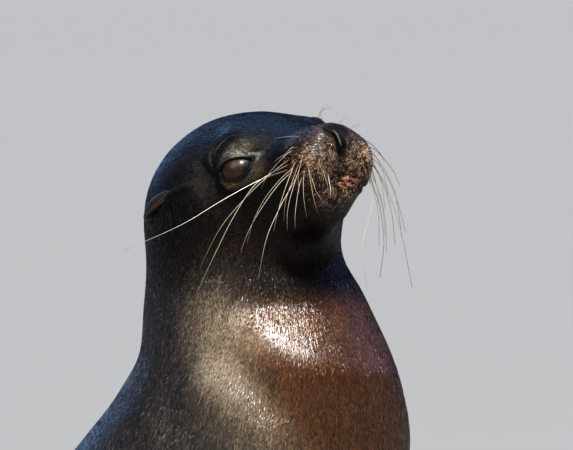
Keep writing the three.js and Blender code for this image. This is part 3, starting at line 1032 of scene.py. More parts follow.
@dataclass(frozen=True)
class Tones:
    """The colours of the coat and the bare skin, as shares of reflected light."""

    # Dark slate of the head's top; its blue tint is a painted sky reflection.
    crown: Colour = (0.014, 0.015, 0.018)
    # The neck's tan: partly its own colour, partly painted sunlight on its front.
    neck: Colour = (0.160, 0.122, 0.077)
    throat: Colour = (0.021, 0.014, 0.010)
    back: Colour = (0.019, 0.019, 0.021)
    chestnut: Colour = (0.098, 0.038, 0.008)
    belly: Colour = (0.070, 0.038, 0.022)
    cheek: Colour = (0.008, 0.0065, 0.0060)
    lid: Colour = (0.210, 0.180, 0.145)
    ochre: Colour = (0.300, 0.155, 0.065)
    muzzle: Colour = (0.012, 0.009, 0.0075)
    tan: Colour = (0.640, 0.490, 0.370)
    rust: Colour = (0.200, 0.085, 0.034)
    nose: Colour = (0.013, 0.0115, 0.011)
    # Pale of the thin ridges and of a line along the upper lid: a painted highlight.
    line: Colour = (0.200, 0.190, 0.180)
    # Near-black of the lids' rims; also painted shade in the slits, the mouth's line and the ear's opening.
    rim: Colour = (0.004, 0.004, 0.006)
    lip: Colour = (0.740, 0.370, 0.260)
    flipper: Colour = (0.015, 0.014, 0.014)
    # Grey of single tufts: a painted glint.
    glint: Colour = (0.210, 0.205, 0.200)


TONES = Tones()


def noise(points: Rows, size: float, seed: int) -> Rows:
    """Smooth random values in space.

    Args:
        points: Where to read them.
        size: The width of one blotch, in the points' own unit.
        seed: Which pattern.

    Returns:
        Values from 0 to 1, one for each place.
    """
    cells = points / size
    corner = np.floor(cells).astype(np.int64)
    t = cells - corner
    t = t * t * (3 - 2 * t)
    total = np.zeros(len(points))
    for n in range(8):
        step = np.array([n & 1, (n >> 1) & 1, n >> 2])
        weight = np.where(step, t, 1 - t).prod(1)
        x, y, z = ((corner + step) % 4096).T
        mixed = (x * 73856093) ^ (y * 19349663) ^ (z * 83492791) ^ (seed * 2654435761)
        mixed = (mixed ^ (mixed >> 13)) * 1274126177 % 4294967296
        total += weight * ((mixed ^ (mixed >> 16)) % 65536) / 65535.0
    return total


@dataclass(frozen=True)
class Patch:
    """A rounded patch of the head.

    Attributes:
        middle: Its middle in the head's frame, in millimetres.
        reach: How far it goes along x, y and z, in millimetres.
    """

    middle: Point
    reach: Point

    def gap(self, local: Rows) -> Rows:
        """How far places in the head's frame lie from its middle, with 1 at its edge."""
        return norms((local - np.array(self.middle)) / np.array(self.reach))


@dataclass
class Markings:
    """What colour the animal has where, with some painted light and shade, and how dry it is, for skin and
    coat alike.

    Attributes:
        trunk_axis: Where the middle line of the neck and chest is, in metres along x.
        pad: The pale flecks of the left whisker pad.
        chin: Those under the lips.
        nose_top: The left half of the bare nose over the nostrils.
        nose_front: The same round the nostrils.
        lips: The pink of the lips.
        tan_heights: Heights over the floor, in metres.
        tan_edges: The cosine of the bearing at which the neck's tan, partly painted sunlight, gives way
            towards the back to the back's dark tone as painted shade, at each of them.
        bib_heights: Heights over the floor, in metres.
        bib_edges: The cosine of the bearing at which the chestnut of the chest ends, at each of them.
        bib_foot: Heights between which the chestnut comes in over the belly, in metres.
        bib_top: Heights between which it goes out under the throat, in metres.
        neck_foot: Heights between which the back's tone gives way to the neck's, in metres.
        muzzle_root: Where the muzzle's flecks come in along the head's x, in millimetres.
        muzzle_foot: Where they do along its z, in millimetres.
        brow: How far from the gaze the pale patch over the eye fades, in degrees.
        rim: How far from the opening the dark rim of the lids fades, in millimetres.
    """

    trunk_axis: float = 0.40
    pad: Patch = Patch((126.0, 22.0, -3.0), (17.0, 15.0, 13.0))
    chin: Patch = Patch((113.0, 6.0, -30.0), (12.0, 13.0, 8.0))
    nose_top: Patch = Patch((136.0, 3.0, 21.0), (15.0, 10.0, 9.0))
    nose_front: Patch = Patch((137.0, 1.0, 8.0), (9.0, 5.5, 13.0))
    lips: Patch = Patch((119.0, 6.0, -22.0), (12.0, 20.0, 7.0))
    tan_heights: tuple[float, ...] = (0.64, 0.76)
    tan_edges: tuple[float, ...] = (0.40, -0.02)
    bib_heights: tuple[float, ...] = (0.60, 0.63, 0.69, 0.76)
    bib_edges: tuple[float, ...] = (0.86, 0.82, 0.66, 0.52)
    bib_foot: Span = (0.32, 0.56)
    bib_top: Span = (0.79, 0.84)
    neck_foot: Span = (0.50, 0.66)
    muzzle_root: Span = (93.0, 113.0)
    muzzle_foot: Span = (-64.0, -50.0)
    brow: Span = (56.0, 78.0)
    rim: Span = (1.3, 2.2)

    def blend(self, base: Rows, tone: Colour, share: Rows) -> Rows:
        """A share of another tone laid over the base."""
        return base + (np.array(tone) - base) * np.clip(share, 0.0, 1.0)[:, None]

    def at(self, points: Rows, normals: Rows) -> tuple[Rows, Rows]:
        """The markings at places on the skin.

        Args:
            points: The places.
            normals: The outward directions there.

        Returns:
            Rows of red, green and blue, and how dry each place is, from 0 to 1.
        """
        local = HEAD.local(points)
        front = normals @ np.array([0.9, 0.0, -0.43])
        height = points[:, 2]
        ahead = points[:, 0] - self.trunk_axis
        ahead = ahead / np.hypot(ahead, points[:, 1])
        colour = np.tile(np.array(TONES.back), (len(points), 1))
        broad = noise(points, 0.09, 1) - 0.5

        neck = smoothstep(*self.neck_foot, height + 0.10 * points[:, 0] + 0.04 * broad)
        colour = self.blend(colour, TONES.neck, neck)
        # Painted light: the neck's tan holds towards its front, where the key falls. Towards its back, the
        # back's dark tone is laid over it as painted shade.
        sunny = np.interp(height, self.tan_heights, self.tan_edges)
        shaded = 1.0 - smoothstep(sunny - 0.30, sunny + 0.36, ahead + 0.2 * broad)
        colour = self.blend(colour, TONES.back, 0.92 * shaded)
        under = smoothstep(-0.25, 0.45, front + 0.3 * broad)
        under *= 1 - smoothstep(0.740, 0.80, height + 0.03 * broad)
        colour = self.blend(colour, TONES.belly, 0.8 * under * (1 - smoothstep(0.5, 0.62, height)))
        edge = np.interp(height, self.bib_heights, self.bib_edges)
        chest = smoothstep(edge - 0.20, edge + 0.17, ahead + 0.16 * broad)
        chest *= smoothstep(*self.bib_foot, height) * (1 - smoothstep(*self.bib_top, height))
        colour = self.blend(colour, TONES.chestnut, chest)

        head = 1.0 - smoothstep(98.0, 138.0, norms(local - [5, 0, 5]))
        # The head's up-facing skin takes the crown's dark slate, whose blue tint is a painted sky
        # reflection.
        crown = head * smoothstep(-0.25, 0.5, (normals @ HEAD.turn)[:, 2] - 0.1 * local[:, 0] / 100)
        colour = self.blend(colour, TONES.throat, head)
        colour = self.blend(colour, TONES.cheek, head * smoothstep(-50, -18, local[:, 2]))
        colour = self.blend(colour, TONES.crown, crown)
        colour, dry = self.face(colour, local, points)

        ragged = np.outer(noise(points, 0.016, 3) - 0.5, [0.0, 0.0, 0.05])
        paddle = Skin().paddle_share(points + ragged)
        colour = self.blend(colour, TONES.flipper, paddle)
        colour *= (0.86 + 0.28 * noise(points, 0.012, 5))[:, None]
        return colour, np.clip(dry + 0.85 * paddle, 0.0, 1.0)

    def bare(self, points: Rows) -> Rows:
        """Where no fur grows on the head, from 0 to 1: nose, rims of the lids, balls and mouth."""
        local = HEAD.local(points)
        bare = self.nose(local)
        for slit in Face().slits:
            bare = np.maximum(bare, smoothstep(0.25, 0.6, slit.rise(local) / slit.height))
        for side in SIDES:
            near, _, beyond = EyeSocket(side).around(local)
            bare[near] = np.maximum(bare[near], 1.0 - smoothstep(1.2, 2.4, beyond))
        return bare

    def folded(self, local: Rows) -> Rows:
        """Places in the head's frame with the right side folded over to the left."""
        return np.column_stack([local[:, 0], np.abs(local[:, 1]), local[:, 2]])

    def nose(self, local: Rows) -> Rows:
        """How much places belong to the bare nose, from 0 to 1, by their places in the head's frame."""
        sided = self.folded(local)
        gap = np.minimum(self.nose_top.gap(sided), self.nose_front.gap(sided))
        return 1.0 - smoothstep(0.75, 1.1, gap)

    def grizzle(self, local: Rows) -> Rows:
        """How pale the muzzle's flecks are, from 0 to 1, by their places in the head's frame."""
        sided = self.folded(local)
        pad, chin = np.exp(-(self.pad.gap(sided) ** 2)), np.exp(-(self.chin.gap(sided) ** 2))
        return (0.16 + 0.84 * pad + 0.55 * chin) * (1.0 - 0.88 * smoothstep(0.0, 15.0, local[:, 2]))

    def muzzle(self, local: Rows) -> Rows:
        """How much places belong to the muzzle, from 0 to 1, by their places in the head's frame."""
        ahead = smoothstep(*self.muzzle_root, local[:, 0] - 0.10 * np.maximum(-local[:, 2], 0))
        return ahead * smoothstep(*self.muzzle_foot, local[:, 2])

    def face(
        self, colour: Rows, local: Rows, points: Rows
    ) -> tuple[Rows, Rows]:
        """The markings of the face.

        Args:
            colour: The colours so far.
            local: The places in the head's frame.
            points: The same places in the part's frame.

        Returns:
            The colours, and how dry each place is.
        """
        fine = noise(points, 0.0016, 7)
        flecks = smoothstep(0.58, 0.78, noise(points, 0.0022, 9))
        blotch = noise(points, 0.009, 11)
        dry = np.zeros(len(points))

        muzzle = self.muzzle(local + np.array([6.0, 0.0, 0.0]) * (blotch - 0.5)[:, None])
        colour = self.blend(colour, TONES.muzzle, muzzle * (0.55 + 0.45 * fine))
        low = 1.0 - 0.6 * smoothstep(-10, 12, local[:, 2])
        rusty = smoothstep(0.42, 0.68, noise(points, 0.0021, 19)) * low
        colour = self.blend(colour, TONES.rust, 0.8 * muzzle * rusty)
        colour = self.blend(colour, TONES.tan, muzzle * flecks * self.grizzle(local) * (0.5 + 0.5 * blotch))
        dry = np.maximum(dry, 0.75 * muzzle)

        bare = self.nose(local)
        colour = self.blend(colour, TONES.nose, bare)
        dry *= 1.0 - bare

        lip = 1.0 - smoothstep(0.55, 1.0, self.lips.gap(local))
        leftward = 0.5 + 0.5 * smoothstep(-8, 6, local[:, 1])
        pink = smoothstep(0.48, 0.60, noise(points, 0.0019, 13)) * leftward
        colour = self.blend(colour, TONES.lip, lip * pink)

        for side in SIDES:
            socket = EyeSocket(side)
            near, places, beyond = socket.around(local)
            angle = np.degrees(np.arccos(np.clip(places[:, 2] / (socket.ball + socket.lid), -1.0, 1.0)))
            above = smoothstep(-1.0, 6.0, places[:, 1] + 0.15 * places[:, 0])
            soft = 10.0 * (blotch[near] - 0.5)
            patch = (1.0 - smoothstep(*self.brow, angle + soft)) * above
            patch *= 1.0 - smoothstep(11.5, 16.5, places[:, 0])
            crowded = smoothstep(0.1, 0.6, blotch[near] + 0.03 * places[:, 0])
            pebbles = smoothstep(0.25, 0.75, fine[near]) * crowded
            here = self.blend(colour[near], TONES.lid, patch * (0.25 + 0.75 * pebbles))
            below = (1.0 - smoothstep(1.0, 5.0, np.abs(beyond - 4.0))) * (1.0 - above)
            below *= 1.0 - smoothstep(56.0, 66.0, angle)
            specks = smoothstep(0.52, 0.70, noise(points[near], 0.0019, 17))
            here = self.blend(here, TONES.lid, 0.35 * below)
            lower = 1.0 - 0.8 * smoothstep(-5.0, 4.0, places[:, 0])
            here = self.blend(here, TONES.ochre, below * specks * lower)
            here = self.blend(here, TONES.rim, 1.0 - smoothstep(*self.rim, beyond))
            # Painted highlight: a thin pale line along the upper lid, towards the corner at the nose.
            upper = smoothstep(-5.0, 2.0, places[:, 0]) * smoothstep(-1.0, 3.0, places[:, 1])
            here = self.blend(here, TONES.line, 0.8 * upper * np.exp(-(((beyond - 2.9) / 0.55) ** 2)))
            colour[near] = here
            dry[near] = np.maximum(dry[near], 0.8 * patch)
            dry[near] *= smoothstep(0.8, 2.2, beyond)
        near = norms(local - [60, 0, 0]) < 140
        # Painted shade: the deepest part of each slit, of the mouth's line and of the fold from the ear
        # takes the rims' near-black.
        for slit in Face().slits:
            deep = np.clip(slit.rise(local[near]) / slit.height, 0.0, 1.0)
            colour[near] = self.blend(colour[near], TONES.rim, smoothstep(0.30, 0.62, deep))
        # Painted highlight: the thin ridges are coloured pale.
        for line in Face().pale_lines:
            share = 0.85 * smoothstep(0.35, 0.9, line.rise(local[near]) / line.height)
            colour[near] = self.blend(colour[near], TONES.line, share)
        return colour, dry


# ------ the materials


@dataclass
class Shader:
    """A material's nodes, and short ways to add to them.

    Attributes:
        name: The material's name.
        noise_reach: How far noise goes to both sides of its middle before it is stretched.
    """

    name: str
    noise_reach: float = 0.22

    def __post_init__(self) -> None:
        """Makes the material with its one surface shader."""
        self.material = bpy.data.materials.new(self.name)
        self.material.use_nodes = True
        self.nodes = self.material.node_tree.nodes
        self.links = self.material.node_tree.links
        self.surface = self.nodes["Principled BSDF"]

    def set(self, **values: float | tuple[float, ...]) -> "Shader":
        """Sets inputs of the surface shader, with _ for a blank in an input's name."""
        for name, value in values.items():
            self.surface.inputs[name.replace("_", " ")].default_value = value
        return self

    def add(self, kind: str, inputs: dict[str | int, object], **settings: object) -> bpy.types.Node:
        """A new node.

        Args:
            kind: Its type.
            inputs: What its inputs hold, or the outputs that they are joined to.
            settings: Its other settings.

        Returns:
            The node.
        """
        node = self.nodes.new(kind)
        for name, value in settings.items():
            setattr(node, name, value)
        for name, value in inputs.items():
            if isinstance(value, Socket):
                self.link(value, node.inputs[name])
            else:
                node.inputs[name].default_value = value
        return node

    def link(self, source: Socket, target: Socket) -> None:
        """Joins an output to an input."""
        self.links.new(source, target)

    def attribute(self, name: str) -> bpy.types.Node:
        """A node that reads a mesh attribute."""
        return self.add("ShaderNodeAttribute", {}, attribute_name=name)

    def noise(self, vector: Socket, scale: Point, detail: float) -> Socket:
        """Noise over scaled coordinates.

        Args:
            vector: The coordinates.
            scale: How many blotches there are in one unit along each of them.
            detail: How many finer layers are added.

        Returns:
            The noise's value, stretched to go from 0 to 1.
        """
        scaled = self.add("ShaderNodeVectorMath", {0: vector, 1: scale}, operation="MULTIPLY").outputs[0]
        blotches = {"Scale": 1.0, "Detail": detail, "Vector": scaled}
        value = self.add("ShaderNodeTexNoise", blotches, noise_dimensions="3D").outputs["Fac"]
        low, high = 0.5 - self.noise_reach, 0.5 + self.noise_reach
        stretch = self.add("ShaderNodeMapRange", {"From Min": low, "From Max": high, "Value": value})
        return stretch.outputs["Result"]

    def spread(self, value: Socket, low: float, high: float) -> Socket:
        """A value from 0 to 1 spread from low to high."""
        node = self.add("ShaderNodeMapRange", {"To Min": low, "To Max": high, "Value": value})
        return node.outputs["Result"]

    def times(self, colour: Socket, factor: Socket) -> Socket:
        """A colour made lighter or darker by a factor."""
        node = self.add("ShaderNodeVectorMath", {0: colour, "Scale": factor}, operation="SCALE")
        return node.outputs[0]

    def mottle(self, attribute: str, scale: float, detail: float, swing: float) -> Socket:
        """Colours the surface as a mesh attribute says, with fine uneven blotches.

        Args:
            attribute: The attribute that holds the colours.
            scale: How many blotches there are in a metre.
            detail: How many finer layers they have.
            swing: How much lighter and darker they get, as a share.

        Returns:
            The blotches, from 0 to 1.
        """
        place = self.add("ShaderNodeTexCoord", {}).outputs["Object"]
        blotches = self.noise(place, (scale, scale, scale), detail)
        factor = self.spread(blotches, 1 - swing, 1 + swing)
        colour = self.times(self.attribute(attribute).outputs["Color"], factor)
        self.link(colour, self.surface.inputs["Base Color"])
        return blotches

    def bump(self, height: Socket, strength: float, distance: float) -> None:
        """Adds a bump on top of those the surface has.

        Args:
            height: The bump's height, from 0 to 1.
            strength: How much of it shows.
            distance: What a height of 1 stands for, in metres.
        """
        node = self.add("ShaderNodeBump", {"Strength": strength, "Distance": distance, "Height": height})
        before = self.surface.inputs["Normal"].links
        if before:
            self.link(before[0].from_socket, node.inputs["Normal"])
        self.link(node.outputs[0], self.surface.inputs["Normal"])


@dataclass(frozen=True)
class WetSkin:
    """Skin with the finest wet fur on it, bare and leathery on nose and flippers.

    Attributes:
        name: The material's name.
        wet: Its roughness where it is wet.
        dried: Its roughness where it is dry.
        gloss: How strongly it shines.
        rough: How strongly its grain stands out.
    """

    name: str
    wet: float = 0.32
    dried: float = 0.62
    gloss: float = 1.0
    rough: float = 1.0

    def make(self) -> bpy.types.Material:
        """The material, which reads the markings and the lie of the coat from the mesh."""
        shader = Shader(self.name).set(Specular_IOR_Level=self.gloss)
        grain = shader.attribute("grain").outputs["Vector"]
        strands = shader.noise(grain, (900.0, 900.0, 70.0), 3.0)
        locks = shader.noise(grain, (240.0, 240.0, 30.0), 2.0)
        colour = shader.times(shader.attribute("coat").outputs["Color"], shader.spread(strands, 0.45, 1.55))
        colour = shader.times(colour, shader.spread(locks, 0.7, 1.3))
        shader.link(colour, shader.surface.inputs["Base Color"])
        roughness = shader.spread(shader.attribute("dry").outputs["Fac"], self.wet, self.dried)
        shader.link(roughness, shader.surface.inputs["Roughness"])
        shader.bump(strands, 0.5 * self.rough, 0.0005)
        shader.bump(locks, 0.4 * self.rough, 0.0008)
        return shader.material


class Finish(Enum):
    """The finishes of the skin, in the order of its materials."""

    COAT = WetSkin("wet_skin")
    FACE = WetSkin("face_skin", wet=0.40, dried=0.70, gloss=0.2, rough=0.6)
    NOSE = WetSkin("nose_leather", wet=0.45, dried=0.6, gloss=0.14, rough=0.8)

    @property
    def place(self) -> int:
        """Which of the skin's materials it is."""
        return list(Finish).index(self)


# ------ the eyes


@dataclass
class Eye:
    """One eyeball with its iris and the clear cornea over it.

    Attributes:
        side: The animal's left or right.
        radius: The ball's radius, in metres.
        iris: How far from the middle the iris reaches, in metres.
        pupil: How far the pupil reaches, in metres.
        bulge: How far the cornea stands proud, in metres.
        glance: How far the eye is turned back from the middle of its opening, in degrees.
        brown: The colour of the iris.
        dark: The colour of its edge and of the pupil.
        white: The colour of the ball beyond it.
        rings: How many rings of faces the ball has.
        spokes: How many faces each ring has.
    """

    side: str
    radius: float = 0.019
    iris: float = 0.0105
    pupil: float = 0.0036
    bulge: float = 0.0011
    glance: float = 4.0
    brown: Colour = (0.033, 0.0135, 0.0105)
    dark: Colour = (0.0025, 0.0020, 0.0022)
    white: Colour = (0.009, 0.0065, 0.0065)
    rings: int = 40
    spokes: int = 72

    def build(self) -> Object:
        """The ball, a dome of revolution round the gaze, with its colours."""
        slit, up, out = HEAD.direction(EyeSocket(self.side).axes)
        turn = math.radians(self.glance)
        cosine, sine = math.cos(turn), math.sin(turn)
        axes = np.array([slit * cosine + out * sine, up, out * cosine - slit * sine])
        reach = np.linspace(0.0, math.pi, self.rings + 1) ** 1.5 / math.pi**0.5
        rows = []
        for angle in reach[1:-1]:
            out = self.radius * math.sin(angle)
            ahead = self.radius * math.cos(angle)
            if angle < math.pi / 2:
                ahead += self.bulge * max(0.0, 1.0 - (out / (self.iris * 1.18)) ** 2)
            rows.append((out, ahead))
        angles = np.arange(self.spokes)[:, None] * 2 * math.pi / self.spokes
        spokes = np.cos(angles) * axes[0] + np.sin(angles) * axes[1]
        points = [axes[2] * (self.radius + self.bulge), -axes[2] * self.radius]
        for out, ahead in rows:
            points += list(out * spokes + ahead * axes[2])
        faces = []
        for j in range(self.spokes):
            k = (j + 1) % self.spokes
            faces.append((0, 2 + j, 2 + k))
            last = 2 + (len(rows) - 1) * self.spokes
            faces.append((1, last + k, last + j))
            for i in range(len(rows) - 1):
                a = 2 + i * self.spokes
                faces.append((a + j, a + self.spokes + j, a + self.spokes + k, a + k))
        points = np.array(points)
        mesh = mesh_from(f"eyeball_{self.side}", points + box_centre(f"eye_{self.side}"), faces)
        set_colours(mesh, "iris", self.colours(points @ axes.T))
        ball = new_object(f"eyeball_{self.side}", mesh)
        ball.data.materials.append(self.material())
        face_outwards(ball.data)
        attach(ball, BODY)
        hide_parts(f"eye_{self.side}")
        return ball

    def colours(self, places: Rows) -> Rows:
        """The ball's colours.

        Args:
            places: The ball's points along the slit, up and outwards.

        Returns:
            Rows of red, green and blue.
        """
        out = norms(places[:, :2])
        streaks = noise(np.column_stack([unit(places[:, :2]) * 0.02, out * 0.25]), 0.0011, 21)
        brown = np.array(self.brown) * (0.6 + 0.8 * streaks)[:, None]
        dark, white = np.array(self.dark), np.array(self.white)
        ring = smoothstep(0.80, 1.02, out / self.iris)[:, None]
        pupil = (1.0 - smoothstep(0.6, 1.25, out / self.pupil))[:, None]
        colour = brown + (dark - brown) * np.maximum(ring, 0.35 * pupil)
        far = smoothstep(1.15, 1.5, out / self.iris)[:, None]
        colour = colour + (white - colour) * far
        back = places[:, 2:] < 0
        return np.where(back, white, colour)

    def material(self) -> bpy.types.Material:
        """A wet, glossy eye whose iris lies under a clear coat."""
        shader = Shader(f"eye_{self.side}").set(Roughness=0.5, Specular_IOR_Level=0.3)
        shader.set(Coat_Weight=0.4, Coat_Roughness=0.22)
        shader.mottle("iris", 900.0, 3.0, 0.25)
        return shader.material


# ------ the coat


@dataclass
class Unwrap:
    """A flat map of the skin's own shape: the trunk and each limb slit along its back and rolled out.

    Attributes:
        trunk_share: How much of the map's height the head and trunk take.
        margin: The empty border round each part, as a share of the map.
    """

    trunk_share: float = 0.62
    margin: float = 0.01

    def places(self, points: Rows) -> Rows:
        """Where places on the skin lie on the map.

        Args:
            points: The places.

        Returns:
            Rows of two coordinates from 0 to 1.
        """
        lie = Lie()
        index, around, along = lie.unrolled(points)
        tiles = [self.tile(i, len(lie.axes)) for i in range(len(lie.axes))]
        lows, sizes = (np.array([tile[k] for tile in tiles]) for k in range(2))
        return lows[index] + np.column_stack([along, around]) * sizes[index]

    def tile(self, index: int, count: int) -> tuple[Rows, Rows]:
        """The lowest corner and the size of the part of the map that one axis takes."""
        if index == 0:
            low, size = np.array([0.0, 0.0]), np.array([1.0, self.trunk_share])
        else:
            width = 1.0 / (count - 1)
            low = np.array([(index - 1) * width, self.trunk_share])
            size = np.array([width, 1.0 - self.trunk_share])
        return low + self.margin, size - 2 * self.margin


@dataclass
class Coat:
    """A short, wet, flat coat of closed tufts over the skin.

    Attributes:
        count: How many tufts there are in all.
        share: How many tufts at most go into one piece.
        patch: How wide a tuft is on the flat map of the skin.
        on_head: How long the tufts are on the head, in millimetres.
        longer: How much longer they get down the trunk.
        on_muzzle: How long they are on the muzzle.
        at_lids: How long they are round the eyes.
        on_feet: How long they are near the floor.
        least_width: How wide the shortest tufts are, in metres.
        slimness: How much wider a tuft gets with its length.
        root_depth: How deep in the skin a tuft starts, in metres.
        least_lift: How far a tip lies over the skin at least, in metres.
        lift: How far more at most, as a share of the tuft's length.
        spike: How far more the tufts of the muzzle do, in metres.
        waves: How far the lie turns from place to place, in radians.
        stray: How far single tufts turn out of it, in radians.
        face_reach: How far the duller coat of the head goes from its middle, in millimetres.
        face_blend: How wide the strip is where the two mix, in millimetres.
        tilt: How unevenly the tufts lean, as a slope.
        unruly: The share of tufts that lean more than twice as unevenly.
        bend: How round they are across, as the slope of their edges.
        glints: The share of tufts that are coloured grey as painted glints, where they can be.
        glint_top: How high over the floor they can, in metres.
        glint_warmth: How many times redder than blue a tuft can be to be one of them.
        seed: The start of the random draws.
    """

    count: int = 300_000
    share: int = 49_000
    patch: float = 0.003
    on_head: float = 4.2
    longer: float = 7.0
    on_muzzle: float = 2.8
    at_lids: float = 1.7
    on_feet: float = 5.0
    least_width: float = 0.00028
    slimness: float = 0.10
    root_depth: float = 0.0004
    least_lift: float = 0.00022
    lift: float = 0.035
    spike: float = 0.0011
    waves: float = 0.9
    stray: float = 0.18
    face_reach: float = 126.0
    face_blend: float = 60.0
    tilt: float = 0.08
    unruly: float = 0.55
    bend: float = 0.35
    glints: float = 0.06
    glint_top: float = 0.765
    glint_warmth: float = 4.0
    seed: int = 4

    def lengths(self, points: Rows) -> Rows:
        """How long the tufts are at some places, in metres."""
        local = HEAD.local(points)
        away = HEAD.away(points)
        length = self.on_head + self.longer * smoothstep(150.0, 520.0, away)
        length = length + (self.on_muzzle - length) * smoothstep(20.0, 95.0, local[:, 0]) * (away < 170)
        for side in SIDES:
            gap = norms(local - EyeSocket(side).centre)
            length = length + (self.at_lids - length) * (1.0 - smoothstep(26.0, 40.0, gap))
        low = np.maximum(Skin().paddle_share(points), 1 - smoothstep(0.05, 0.20, points[:, 2]))
        return MM * (length + (self.on_feet - length) * low)

    def density(self, points: Rows, bare: Rows) -> Rows:
        """How closely the tufts stand at some places, against each other."""
        crowd = (0.0085 / self.lengths(points)) ** 1.5
        low = smoothstep(0.02, 0.35, points[:, 2])
        return crowd * (0.35 + 0.65 * low) * (1.0 - Skin().paddle_share(points)) * (1.0 - bare)

    def roots(self, skin: Object, bare: Rows) -> tuple[Rows, Rows]:
        """Draws the places where tufts grow.

        Args:
            skin: The skin.
            bare: How bare each of its vertices is, from 0 to 1.

        Returns:
            The roots and the outward directions there.
        """
        mesh = skin.data
        mesh.calc_loop_triangles()
        corners = np.empty(len(mesh.loop_triangles) * 3, np.int32)
        mesh.loop_triangles.foreach_get("vertices", corners)
        corners = corners.reshape(-1, 3)
        points, normals = mesh_points(mesh), mesh_normals(mesh)
        a, b, c = (points[corners[:, k]] for k in range(3))
        area = norms(np.cross(b - a, c - a))
        middle = (a + b + c) / 3
        weight = area * self.density(middle, bare[corners].max(1))
        chance = np.random.default_rng(self.seed)
        chosen = np.searchsorted(np.cumsum(weight) / weight.sum(), chance.random(self.count))
        chosen = np.sort(np.minimum(chosen, len(corners) - 1))
        u, v = chance.random(self.count), chance.random(self.count)
        over = u + v > 1
        u[over], v[over] = 1 - u[over], 1 - v[over]
        shares = np.column_stack([1 - u - v, u, v])[:, :, None]
        picked = corners[chosen]
        return (points[picked] * shares).sum(1), unit((normals[picked] * shares).sum(1))

    def build(self, skin: Object, tree: BVHTree, bare: Rows) -> list[Object]:
        """Grows the coat.

        Args:
            skin: The skin.
            tree: The skin's faces, to lay the tips on.
            bare: How bare each of its vertices is, from 0 to 1.

        Returns:
            The coat's pieces.
        """
        roots, normals = self.roots(skin, bare)
        chance = np.random.default_rng(self.seed + 1)
        lie = Lie().along(roots, normals)
        aside = np.cross(normals, lie)
        sway = self.waves * (noise(roots, 0.022, 31) - 0.5)
        sway += self.stray * chance.normal(0.0, 1.0, len(roots))
        ahead = unit(lie * np.cos(sway)[:, None] + aside * np.sin(sway)[:, None])
        aside = np.cross(normals, ahead)
        length = self.lengths(roots) * (0.75 + 0.5 * chance.random(len(roots)))
        width = (self.least_width + length * self.slimness) * (0.8 + 0.4 * chance.random(len(roots)))
        spiky = Markings().muzzle(HEAD.local(roots))
        lift = (length * self.lift + self.spike * spiky) * chance.random(len(roots)) ** 2
        middle = self.laid(tree, roots + ahead * (0.42 * length)[:, None], 0.00025 + 0.12 * width)
        tip = self.laid(tree, roots + ahead * length[:, None], self.least_lift + lift)
        tilt = self.tilt * chance.normal(0.0, 1.0, (2, len(roots), 1))
        tilt *= np.where(chance.random(len(roots)) < self.unruly, 2.5, 1.0)[:, None]
        up = unit(normals + tilt[0] * aside + 0.6 * tilt[1] * ahead)
        side = unit(aside - tilt[0] * normals) * (width / 2)[:, None]
        sunk = roots - normals * self.root_depth
        points = np.stack([sunk, middle - side, middle + side, tip], 1)
        leans = np.stack([up, unit(up - self.bend * aside), unit(up + self.bend * aside), up], 1)
        colours, _ = Markings().at(roots, normals)
        colours = self.tuft_tones(colours, roots, chance)
        uv = Unwrap().places(roots)
        spread = np.array([[0.0, -0.5], [-0.5, -0.1], [0.5, -0.1], [0.0, 0.5]]) * self.patch
        maps = uv[:, None, :] + spread[None]
        away = HEAD.away(roots)
        order = np.argsort(away, kind="stable")
        on_head = (away + self.face_blend * (chance.random(len(roots)) - 0.5) < self.face_reach)[order]
        pieces = []
        for name, chosen, gloss in (("head", order[on_head], 0.32), ("body", order[~on_head], 1.0)):
            material = self.material(f"{name}_coat", gloss)
            count = math.ceil(len(chosen) / self.share)
            for number, part in enumerate(np.array_split(chosen, count), 1):
                rows = (points[part], leans[part], colours[part], maps[part])
                pieces.append(self.piece(f"coat_{name}_{number}", *rows, material))
        return pieces

    def laid(self, tree: BVHTree, points: Rows, heights: Rows) -> Rows:
        """Places laid on the skin at some heights over it."""
        laid = np.empty_like(points)
        for i, (point, height) in enumerate(zip(points.tolist(), heights.tolist())):
            place, normal, _, _ = tree.find_nearest(point)
            laid[i] = place + normal * height
        return laid

    def tuft_tones(self, colours: Rows, roots: Rows, chance: np.random.Generator) -> Rows:
        """The colours of the tufts' four points, lighter to the tips, with pale tufts on the muzzle and
        grey tufts as painted glints.
        """
        light = 0.42 + 1.3 * chance.random(len(roots)) ** 2
        local = HEAD.local(roots)
        pale = (chance.random(len(roots)) < 0.45 * Markings().grizzle(local)) * Markings().muzzle(local)
        # Painted glints: a share of the dull tufts low down are greyed as if they caught the light.
        dull = (roots[:, 2] < self.glint_top) & (colours[:, 0] < self.glint_warmth * colours[:, 2])
        painted_glint = 0.5 * (chance.random(len(roots)) < self.glints) * dull
        colours = colours * light[:, None]
        colours = colours + (np.array(TONES.glint) - colours) * painted_glint[:, None]
        pale = pale * (0.3 + 0.7 * chance.random(len(roots)))
        colours = colours + (np.array(TONES.tan) - colours) * pale[:, None]
        steps = np.array([0.5, 0.9, 0.9, 1.3])
        return colours[:, None, :] * steps[None, :, None]

